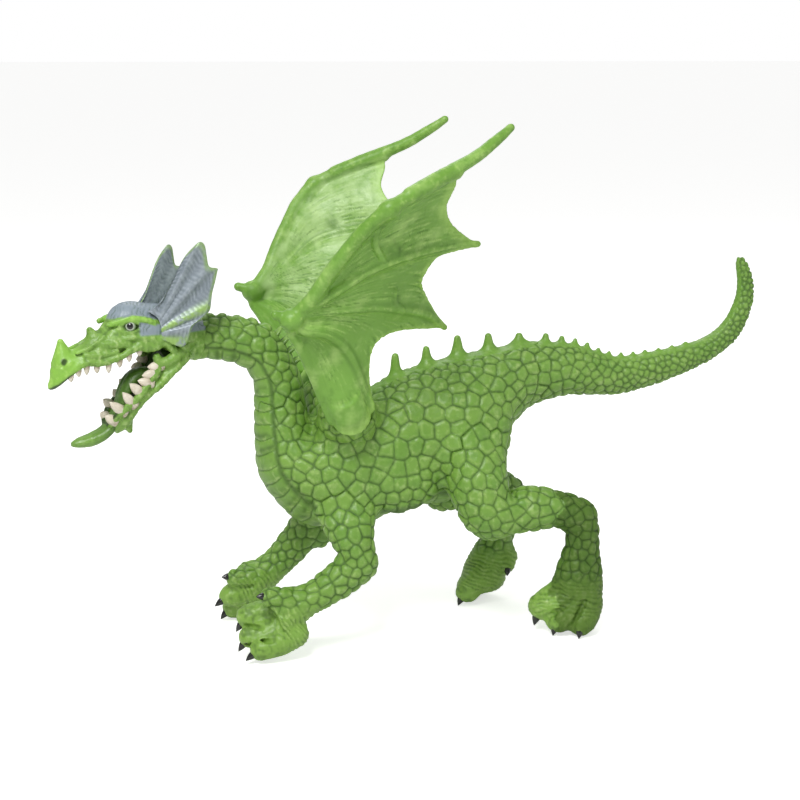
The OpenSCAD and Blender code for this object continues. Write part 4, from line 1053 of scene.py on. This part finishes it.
def sculpt_wing():
    clay = Clay([-54, -52, 58], [22, -9, 157], BODY_GRID)
    grid, marks = wing_grid()
    n, m = grid.shape[:2]
    s, t = marks[..., 0], marks[..., 2]
    half = 0.5 + 0.3 * (1 - s)
    stem = (marks[..., 1] > 2.5) * np.sin(np.pi * np.clip(t, 0.02, 0.98)) ** 0.6
    half = half + 2.2 * stem * smoothstep(0.5, 0.85, s) * (1 - 0.6 * smoothstep(0.9, 1.0, s))
    front, back = grid - WING_FACE * half[..., None], grid + WING_FACE * half[..., None]
    points = np.vstack([front.reshape(-1, 3), back.reshape(-1, 3)])
    count = n * m
    i, j = np.meshgrid(np.arange(n - 1), np.arange(m - 1), indexing="ij")
    a = (i * m + j).ravel()
    quads = [np.stack([a, a + m, a + m + 1, a + 1], 1),
             np.stack([a + count, a + 1 + count, a + m + 1 + count, a + m + count], 1)]
    loop = np.concatenate([np.arange(m - 1), np.arange(n - 1) * m + m - 1,
        (n - 1) * m + np.arange(m - 1, 0, -1),
                           np.arange(n - 1, 0, -1) * m])
    follow = np.roll(loop, -1)
    quads.append(np.stack([loop, follow, follow + count, loop + count], 1))
    quads = np.concatenate(quads)
    if volume(points, quads) < 0:
        quads = quads[:, ::-1]
    w, d = clay.shell(points, quads, np.zeros((0, 3)))
    clay.put(w, d, 0)
    for rib, first, last in zip(WING_RIBS, (2.1, 1.5, 1.4, 1.2, 1.1), (1.9, 0.9, 0.9, 1.6, 1.2)):
        clay.chain([p + [first + (last - first) * i / (len(rib) - 1)] for i, p in enumerate(rib)], 0.9)
    clay.chain(FIRST_FINGER, 1.2)
    for rows in SPURS:
        clay.chain(rows, 0.9)
    clay.ball([-44.8, -30.2, 101.3], [3.4, 3.3, 3.2], 0.7)                            # knuckle
    clay.limb([-46, -29.6, 102], [-49.3, -30.2, 102.8], 1.5, 1.35, 0.4)              # thumb
    # bump of the first finger
    clay.ball([-21.2, -46.6, 132.4], [2.8, 2.6, 2.5], 1.4)
    # root disc and neck of the stem
    turn = np.array([[1, 0, 0], OUT, DISC_UP])
    clay.ball(ROOT + OUT * 2.6 + [0, 0, 0.6], [7.3, 3.0, 7.0], 1.2, turn=turn)
    clay.limb(ROOT + OUT * 2.8, [-28, -20.5, 77.5], 5, 2.6, 2)
    x, y, z = clay.axes(tuple(slice(0, int(v)) for v in clay.size))
    depth = (x[:, None, None] - ROOT[0]) * OUT[0] + (y[None, :, None] - ROOT[1]) * OUT[1] + (z[None, None,
        :] - ROOT[2]) * OUT[2]
    near = (np.abs(x[:, None, None] - ROOT[0]) < 11) & (z[None, None, :] < 84) & (y[None, :, None] > -24)
    clay.d = np.where(near, np.maximum(clay.d, 0.45 - depth), clay.d).astype(np.float32)
    return clay


def wing_relief(points, normals):
    """Fan streaks from the wrist, soft wrinkles across the fingers, the worn bright edges, and a painted sheen
    on the membrane's inner face.
    """
    grid, marks = wing_grid(110, 110)
    flat, mark = grid.reshape(-1, 3), marks.reshape(-1, 3)
    tree = tree_of(flat)
    index = np.fromiter((tree.find(p)[1] for p in points), int, len(points))
    s, k, t = mark[index].T
    away = np.linalg.norm(points - flat[index], axis=1)
    fan = k + t
    warp = 0.07 * noise(points, 7, 31) + 0.03 * noise(points, 3, 32)
    fine = np.sin((fan + 0.6 * warp) * 2 * np.pi * 19 + 2 * noise(points, 9, 37))
    streak = np.sin((fan + warp) * 2 * np.pi * 7.3) + np.sin((fan - warp) * 2 * np.pi * 13.1) + 0.9 * fine
    streak = streak * np.clip(0.55 + 0.7 * noise(points, 8, 38), 0, 1)
    cross = noise(points * [0.8, 0.8, 0.5], 1.1, 33) + 0.5 * noise(points, 0.55, 34)
    sheet = smoothstep(3.9, 3.4, fan) * smoothstep(2.4, 1.1, away)
    edge = smoothstep(0.9, 0.985, s) * sheet
    offset = 0.05 * streak * sheet * smoothstep(0.05, 0.4,
        s) + 0.06 * cross * (1 - 0.7 * sheet) + 0.05 * noise(points, 2.4, 35)
    ribbed = np.minimum(t, 1 - t)
    finger = smoothstep(0.09, 0.02, ribbed) * smoothstep(3.2, 2.4, fan)
    # Dark smudges of paint round the wrist, the rib ends and the spurs.
    smudge_and_shade = np.zeros(len(points))
    for spot, r in ((WRIST, 4.2), (WING_RIBS[1][-1], 7), (WING_RIBS[2][-1], 6), (SPURS[1][1], 3.6),
        (SPURS[0][1], 3), (SPURS[2][1], 3.4)):
        smudge_and_shade = np.maximum(smudge_and_shade, smoothstep(r, 0.3 * r, np.linalg.norm(points - spot[:3], axis=1)))
    smudge_and_shade = smudge_and_shade * smoothstep(-0.5, 0.5, noise(points, 1.8, 39))
    groove = smoothstep(-0.7, -1.7, streak) * sheet * 0.8 + smoothstep(-0.4, -1.1,
        cross) * 0.35 + 0.7 * smudge_and_shade
    gap = smoothstep(0.03, 0.07, ribbed) * smoothstep(0.16, 0.08, ribbed) * sheet * smoothstep(0.02, 0.2, s)
    return offset, {"groove": np.clip(np.maximum(groove, 0.5 * gap), 0, 1),
        "high": np.clip(smoothstep(0.1, 1.2, streak) * sheet
                    + finger * smoothstep(0.0, 0.8, cross) + edge, 0, 1), "edge": edge,
                        "tone": 0.5 + 0.5 * noise(points, 9, 36),
                    # inner: a painted sheen, paler paint on the inner face of the membrane
                    "inner": sheet * smoothstep(0.2, 0.6, normals @ WING_FACE) * smoothstep(3.2, 2.6, fan)}


def wing_pieces(materials):
    clay = sculpt_wing()
    points, quads = clay.mesh()
    normals = clay.gradient(points)
    offset, marks = wing_relief(points, normals)
    depth = (points - ROOT) @ OUT
    calm = np.where(np.linalg.norm((points - ROOT) * [1, 0.3, 1], axis=1) < 9, smoothstep(0.4, 1.6, depth), 1)
    points = points + normals * (offset * calm)[:, None]
    ring = np.linalg.norm(points - ROOT - np.outer(depth, OUT), axis=1)
    marks["groove"] = np.maximum(marks["groove"], smoothstep(2.2, 0.9, depth) * (ring < 10))
    for side, name in ((-1, "left"), (1, "right")):
        p = points * [1, -side, 1]
        piece = make_piece(name + "_wing_skin", p, quads if side < 0 else quads[:, ::-1], materials["wing"],
            marks)
        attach(piece, name + "_wing")
        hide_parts(name + "_wing")


# ------------------------------------------------------------------ paint
def noise_mask(tree, where, feature, lo, hi, detail=3.0, rough=0.55):
    """0 to 1 from noise with features this many millimetres across."""
    tex = add_node(tree, "ShaderNodeTexNoise", {"Scale": 1 / (feature * MM), "Detail": detail,
        "Roughness": rough},
                   {"Vector": where})
    return add_node(tree, "ShaderNodeMapRange", {"From Min": lo, "From Max": hi},
        {"Value": tex.outputs["Fac"]}).outputs[0]


def times(tree, a, b):
    node = add_node(tree, "ShaderNodeMath", operation="MULTIPLY")
    for socket, value in zip(node.inputs, (a, b)):
        if isinstance(value, (int, float)):
            socket.default_value = value
        else:
            tree.links.new(value, socket)
    return node.outputs[0]


def mixed(tree, factor, a, b):
    """A colour b laid over a colour a; each is a hex value or a socket."""
    node = add_node(tree, "ShaderNodeMix", data_type="RGBA", clamp_factor=True)
    for socket, value in zip((node.inputs[0], node.inputs[6], node.inputs[7]), (factor, a, b)):
        if isinstance(value, str):
            socket.default_value = hexa(value)
        elif isinstance(value, (int, float)):
            socket.default_value = value
        else:
            tree.links.new(value, socket)
    return node.outputs[2]


def painted(name, base, layers, roughness=0.42, matt=None, grain=(), coat=0.0, metal=0.0, ior=1.5):
    """Moulded plastic under coats of paint. Each layer is (mark, hex, amount, noise or None), and the
    noise is (feature size, lo, hi). matt is the mark of what is rougher. grain is (feature, height) pairs."""
    material = bpy.data.materials.new(name)
    material.use_nodes = True
    tree = material.node_tree
    tree.nodes.clear()
    where = add_node(tree, "ShaderNodeTexCoord").outputs["Object"]
    colour = base
    for mark, code, amount, cloud in layers:
        factor = float(amount)
        if mark:
            factor = times(tree, add_node(tree, "ShaderNodeAttribute", attribute_name=mark).outputs["Fac"],
                factor)
        if cloud:
            factor = times(tree, noise_mask(tree, where, *cloud), factor)
        colour = mixed(tree, factor, colour, code)
    shader = add_node(tree, "ShaderNodeBsdfPrincipled", {"Roughness": roughness, "Metallic": metal,
        "IOR": ior,
                                                       "Coat Weight": coat, "Coat Roughness": 0.12})
    if isinstance(colour, str):
        shader.inputs["Base Color"].default_value = hexa(colour)
    else:
        tree.links.new(colour, shader.inputs["Base Color"])
    rough = noise_mask(tree, where, 1.4, 0.25, 0.75)
    rough = add_node(tree, "ShaderNodeMapRange", {"To Min": roughness - 0.07, "To Max": roughness + 0.09},
                     {"Value": rough}).outputs[0]
    if matt:
        fac = add_node(tree, "ShaderNodeAttribute", attribute_name=matt).outputs["Fac"]
        add = add_node(tree, "ShaderNodeMath", operation="ADD", links={0: rough, 1: times(tree, fac, 0.22)})
        rough = add.outputs[0]
    tree.links.new(rough, shader.inputs["Roughness"])
    normal = None
    for feature, height in grain:
        tex = add_node(tree, "ShaderNodeTexNoise", {"Scale": 1 / (feature * MM), "Detail": 2.0},
            {"Vector": where})
        bump = add_node(tree, "ShaderNodeBump", {"Strength": 1.0, "Distance": height * MM},
            {"Height": tex.outputs["Fac"]})
        if normal:
            tree.links.new(normal, bump.inputs["Normal"])
        normal = bump.outputs["Normal"]
    if normal:
        tree.links.new(normal, shader.inputs["Normal"])
    out = add_node(tree, "ShaderNodeOutputMaterial")
    tree.links.new(shader.outputs[0], out.inputs["Surface"])
    return material


def make_materials():
    skin = painted("green vinyl, painted scales", "#749d3e", [
        ("tone", "#669433", 0.8, None), (None, "#81a948", 0.5, (9, 0.4, 0.65)),
            (None, "#5f8c33", 0.45, (5, 0.5, 0.7)),
        ("foot", "#86ae48", 0.6, None), ("high", "#a8c571", 0.6, (1.6, 0.42, 0.66)),
        (None, "#acc879", 0.45, (3.2, 0.58, 0.72)), ("spine", "#75a53b", 0.7, (2.2, 0.2, 0.6)),
            ("groove", "#315217", 0.8, None),
    ], 0.4, "groove", ((0.5, 0.05), (1.8, 0.12)))
    head = painted("green vinyl, painted head", "#7ca646", [
        (None, "#6a9637", 0.6, (4, 0.45, 0.65)), ("high", "#b4cf81", 0.7, (1.2, 0.36, 0.62)),
            ("nose", "#8dc249", 0.85, None),
        ("nose", "#b7df74", 0.5, (2.2, 0.5, 0.7)), ("silver", "#8e9aa8", 0.95, None),
            ("groove", "#3b5a21", 0.7, None),
        # painted shade in the mouth, the eye sockets and the nostrils
        ("recess_shade", "#294314", 0.93, None),
    ], 0.38, "groove", ((0.45, 0.04), (1.5, 0.1)))
    wing = painted("green vinyl, brushed wing", "#73a23c", [
        ("tone", "#679633", 0.6, None), (None, "#7dae46", 0.6, (11, 0.4, 0.65)),
            ("high", "#add170", 0.6, (1.8, 0.36, 0.64)),
        # inner: painted sheen, paler paint on the inner face of each wing
        (None, "#badb80", 0.45, (7, 0.53, 0.72)), ("inner", "#bcd996", 0.62, (5, 0.3, 0.6)),
        ("groove", "#426c20", 0.72, None), ("edge", "#9eca5b", 0.5, None),
    ], 0.42, "groove", ((0.5, 0.04), (1.9, 0.1)))
    frill = painted("silver paint over green vinyl", "#8d97a0", [
        (None, "#79848c", 0.6, (3, 0.4, 0.65)), ("high", "#bcc6cd", 0.6, (1.4, 0.34, 0.64)),
            ("groove", "#5c6866", 0.6, (1.6, 0.3, 0.6)),
        ("lime", "#93ba50", 0.85, (2.5, 0.3, 0.5)),
    ], 0.36, "groove", ((0.5, 0.04),), metal=0.15)
    # The dark base green is painted shade inside the mouth; the tip layer lightens the tongue toward the front.
    tongue = painted("green vinyl, tongue", "#4c7028", [
        ("tip", "#7aa548", 0.85, None), ("high", "#98bc68", 0.4, (1.2, 0.4, 0.65)),
            (None, "#587f30", 0.5, (2.4, 0.45, 0.65)),
    ], 0.34, None, ((0.5, 0.05),))
    ivory = painted("ivory painted teeth", "#d9cfbb", [
        ("root", "#8d7f5c", 0.7, (1.1, 0.25, 0.6)), (None, "#efe8d8", 0.6, (1.6, 0.45, 0.65)),
    ], 0.36, None, ((0.4, 0.03),))
    claw = painted("black gloss claws", "#1a1c1a", [
        (None, "#30332d", 0.5, (1.5, 0.5, 0.7)), ("root", "#2f4420", 0.4, (0.9, 0.4, 0.65)),
    ], 0.17, None, ((0.8, 0.02),), coat=0.4)
    eye = painted("black gloss eyes", "#6f8a5a", [("pupil", "#0e110d", 1.0, None),
        ("glint", "#c9d2c2", 0.9, None)], 0.12, None, (),
                  coat=0.6)
    plate = painted("bright green vinyl plates", "#7aa24a", [
        (None, "#94b85c", 0.7, (1.6, 0.4, 0.65)), ("root", "#45652a", 0.7, None),
    ], 0.4, None, ((0.4, 0.04),))
    return {"skin": skin, "head": head, "wing": wing, "frill": frill, "tongue": tongue, "ivory": ivory,
        "claw": claw,
            "eye": eye, "plate": plate}


# ------------------------------------------------------------------ repeated small shapes
def hook_shape(name, bend, taper, flat=1.0, sides=14, rings=12):
    """A hooked cone one unit tall that starts a little below zero and leans toward +X."""
    rows = []
    for u in np.linspace(0, 1, rings):
        z = -0.3 + 1.3 * u
        v = max(z, 0)
        r = 0.5 * (1 - v ** taper) ** 0.85 if v < 1 else 0
        a = np.linspace(0, 2 * np.pi, sides, endpoint=False)
        rows.append(np.stack([r * np.cos(a) + bend * v * v, flat * r * np.sin(a), np.full(sides, z)], 1))
    rows[-1] = rows[-1].mean(0) + 0.04 * np.stack([np.cos(a), flat * np.sin(a), np.zeros(sides)], 1)
    points = np.vstack(rows + [rows[0].mean(0)[None], rows[-1].mean(0)[None] + [0, 0, 0.02]])
    i, k = np.arange(sides), (np.arange(sides) + 1) % sides
    faces = []
    for j in range(rings - 1):
        a, b = j * sides, (j + 1) * sides
        faces += [np.stack([a + i, a + k, b + k], 1), np.stack([a + i, b + k, b + i], 1)]
    n = rings * sides
    faces += [np.stack([np.full(sides, n), k, i], 1), np.stack([np.full(sides, n + 1), n - sides + i,
        n - sides + k], 1)]
    mesh = bpy.data.meshes.new(name)
    mesh.from_pydata(points.tolist(), [], np.concatenate(faces).tolist())
    for polygon in mesh.polygons:
        polygon.use_smooth = True
    root = mesh.attributes.new("root", "FLOAT", "POINT")
    root.data.foreach_set("value", (1 - smoothstep(0.0, 0.45, points[:, 2])).astype(np.float32))
    return bpy.data.objects.new(name, mesh)


def row_tree():
    """Places one shape at every point, standing along aim, leaning toward lean and as big as size."""
    tree = bpy.data.node_groups.new("row of shapes", "GeometryNodeTree")
    for key, kind in (("Points", "NodeSocketGeometry"), ("Shape", "NodeSocketObject"),
        ("Material", "NodeSocketMaterial")):
        tree.interface.new_socket(key, in_out="INPUT", socket_type=kind)
    tree.interface.new_socket("Geometry", in_out="OUTPUT", socket_type="NodeSocketGeometry")
    start, end = add_node(tree, "NodeGroupInput"), add_node(tree, "NodeGroupOutput")
    marks = {key: add_node(tree, "GeometryNodeInputNamedAttribute", {"Name": key},
        data_type="FLOAT_VECTOR").outputs[0]
             for key in ("aim", "lean", "size")}
    shape = add_node(tree, "GeometryNodeObjectInfo", links={"Object": start.outputs["Shape"]})
    stand = add_node(tree, "FunctionNodeAlignRotationToVector", links={"Vector": marks["aim"]}, axis="Z")
    roll = add_node(tree, "FunctionNodeAlignRotationToVector",
        links={"Rotation": stand.outputs[0], "Vector": marks["lean"]},
                    axis="X", pivot_axis="Z")
    place = add_node(tree, "GeometryNodeInstanceOnPoints", links={
        "Points": start.outputs["Points"], "Instance": shape.outputs["Geometry"], "Rotation": roll.outputs[0],
        "Scale": marks["size"]})
    real = add_node(tree, "GeometryNodeRealizeInstances", links={"Geometry": place.outputs["Instances"]})
    paint = add_node(tree, "GeometryNodeSetMaterial", links={"Geometry": real.outputs[0],
        "Material": start.outputs["Material"]})
    tree.links.new(paint.outputs[0], end.inputs[0])
    return tree


def row_piece(name, tree, shape, rows, material):
    """A plain mesh of one shape repeated: rows are (place, aim, lean, [width, depth, height]) in millimetres."""
    mesh = bpy.data.meshes.new(name)
    mesh.from_pydata([tuple(np.array(r[0]) * MM) for r in rows], [], [])
    for key, i in (("aim", 1), ("lean", 2)):
        mesh.attributes.new(key, "FLOAT_VECTOR", "POINT").data.foreach_set(
            "vector", np.array([r[i] for r in rows], np.float32).ravel())
    mesh.attributes.new("size", "FLOAT_VECTOR", "POINT").data.foreach_set(
        "vector", (np.array([r[3] for r in rows], np.float32) * MM).ravel())
    host = bpy.data.objects.new(name + " row", mesh)
    bpy.context.scene.collection.objects.link(host)
    modifier = host.modifiers.new("row", "NODES")
    modifier.node_group = tree
    sockets = {item.name: item.identifier for item in tree.interface.items_tree if item.in_out == "INPUT"}
    modifier[sockets["Shape"]] = shape
    modifier[sockets["Material"]] = material
    graph = bpy.context.evaluated_depsgraph_get()
    graph.update()
    solid = bpy.data.meshes.new_from_object(host.evaluated_get(graph), depsgraph=graph)
    solid.name = name
    bpy.data.objects.remove(host)
    if not solid.materials or solid.materials[0] is None:
        solid.materials.clear()
        solid.materials.append(material)
    piece = bpy.data.objects.new(name, solid)
    bpy.context.scene.collection.objects.link(piece)
    return piece


def head_turned(v):
    return head_out(np.array(v, float)) - HEAD_JOINT


def lip_y(x, rows):
    rows = np.array(sorted(rows))
    return np.interp(x, rows[:, 0], rows[:, 1])


def rows_of_teeth(materials, tree):
    tooth = hook_shape("tooth", 0.12, 2.6)
    upper, lower = [], []
    for s in (-1, 1):
        for x, z, h in UPPER_TEETH:
            y = s * (lip_y(x, UPPER_LIP) - 0.35)
            upper.append((head_out([x, y, z - 0.2]), head_turned([-0.12, -0.05 * s, -1]),
                head_turned([1, 0, 0]),
                          [1.7, 1.6, h + 0.3]))
        for x, z, tip_x, tip_z in LOWER_TEETH:
            y = s * (lip_y(x, JAW_RIM) - 0.3)
            way = np.array([tip_x - x, 0.06 * s, tip_z - z])
            long = np.linalg.norm(way) * (1 if s < 0 else 0.6) + 0.4
            lower.append((head_out([x, y, z]), head_turned(way), head_turned([0.2, 0, 1]), [3.0, 2.7, long]))
    for rows, name, node in ((upper, "upper_teeth_row", "upper_teeth"),
        (lower, "lower_teeth_row", "lower_teeth")):
        piece = row_piece(name, tree, tooth, rows, materials["ivory"])
        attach(piece, "figure")
        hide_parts(node)


def rows_of_claws(materials, tree):
    claw = hook_shape("claw", 0.2, 1.8)
    for leg, toes in TOES.items():
        rows = []
        for line, way in toes:
            tip, r = np.array(line[-1][:3]), line[-1][3]
            way = np.array(way) / np.linalg.norm(way)
            wide, long = min(2.7 if "hind" in leg else 2.4, 1.1 * r), 3.1 if r > 2.9 else 2.5
            start = tip + way * (r - 0.8)
            start[2] = max(start[2], 0.35 + max(0, -way[2]) * long + (1 - abs(way[2])) * wide / 2)
            rows.append((start, way, [way[0] * 0.2, 0, -1], [wide, wide * 0.95, long]))
        node = leg.replace("leg", "_claws")
        piece = row_piece(node + "_row", tree, claw, rows, materials["claw"])
        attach(piece, "figure")
        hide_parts(node)


def row_of_nape_plates(materials, tree):
    blade = hook_shape("nape plate", 0.2, 2.0)
    rows = []
    for x, z, lean in ((-43.6, 92.3, 0.5), (-41.4, 90.2, 0.65), (-39.6, 87.5, 0.8), (-38, 84.4, 0.95)):
        rows.append(([x, 0, z], [lean, 0, 1 - 0.4 * lean], [1, 0, -0.4], [1.7, 4.6, 3.6]))
    piece = row_piece("nape_plates", tree, blade, rows, materials["plate"])
    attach(piece, "figure")


# ------------------------------------------------------------------ floor, light and camera
def studio():
    scene = bpy.context.scene
    world = bpy.data.worlds.new("studio")
    scene.world = world
    world.use_nodes = True
    tree = world.node_tree
    back = tree.nodes["Background"]
    back.inputs["Color"].default_value = (1, 1, 1, 1)
    path = add_node(tree, "ShaderNodeLightPath").outputs["Is Camera Ray"]
    level = add_node(tree, "ShaderNodeMapRange", {"To Min": 0.4, "To Max": 1.0}, {"Value": path})
    tree.links.new(level.outputs[0], back.inputs["Strength"])
    scene.view_settings.view_transform = "Standard"
    mesh = bpy.data.meshes.new("floor")
    h = FLOOR_HALF
    mesh.from_pydata([(-h, -h, 0), (h, -h, 0), (h, h, 0), (-h, h, 0)], [], [(0, 1, 2, 3)])
    floor = bpy.data.objects.new("floor", mesh)
    scene.collection.objects.link(floor)
    mesh.materials.append(painted("pale floor", "#f2f2f0", [], 0.9))
    for node in mesh.materials[0].node_tree.nodes:
        if node.type == "BSDF_PRINCIPLED":
            node.inputs["Emission Color"].default_value = (1, 1, 1, 1)
            seen = add_node(mesh.materials[0].node_tree, "ShaderNodeLightPath").outputs["Is Camera Ray"]
            mesh.materials[0].node_tree.links.new(times(mesh.materials[0].node_tree, seen, FLOOR_GLOW),
                node.inputs["Emission Strength"])
            node.inputs["Specular IOR Level"].default_value = 0.1
    for name, place, size, power in (("key", (-0.35, -0.5, 0.8), 0.35, 6.3),
        ("fill", (0.6, -0.5, 0.35), 0.5, 0.7),
                                     ("rim", (0.1, 0.6, 0.7), 0.5, 1.5)):
        data = bpy.data.lights.new(name, "AREA")
        data.size, data.energy = size, power
        light = bpy.data.objects.new(name, data)
        light.location = place
        light.rotation_euler = (TARGET - Vector(place)).to_track_quat("-Z", "Y").to_euler()
        scene.collection.objects.link(light)
    data = bpy.data.cameras.new("camera")
    data.lens = CAMERA_LENS
    camera = bpy.data.objects.new("camera", data)
    az, el = math.radians(CAMERA_TURN), math.radians(CAMERA_RISE)
    camera.location = TARGET + CAMERA_DISTANCE * Vector((math.sin(az) * math.cos(el),
        -math.cos(az) * math.cos(el), math.sin(el)))
    camera.rotation_euler = (TARGET - camera.location).to_track_quat("-Z", "Y").to_euler()
    scene.collection.objects.link(camera)
    scene.camera = camera


materials = make_materials()
body_pieces(materials)
head_pieces(materials)
eye_piece(materials)
frill_pieces(materials)
wing_pieces(materials)
rows = row_tree()
rows_of_teeth(materials, rows)
rows_of_claws(materials, rows)
row_of_nape_plates(materials, rows)
studio()
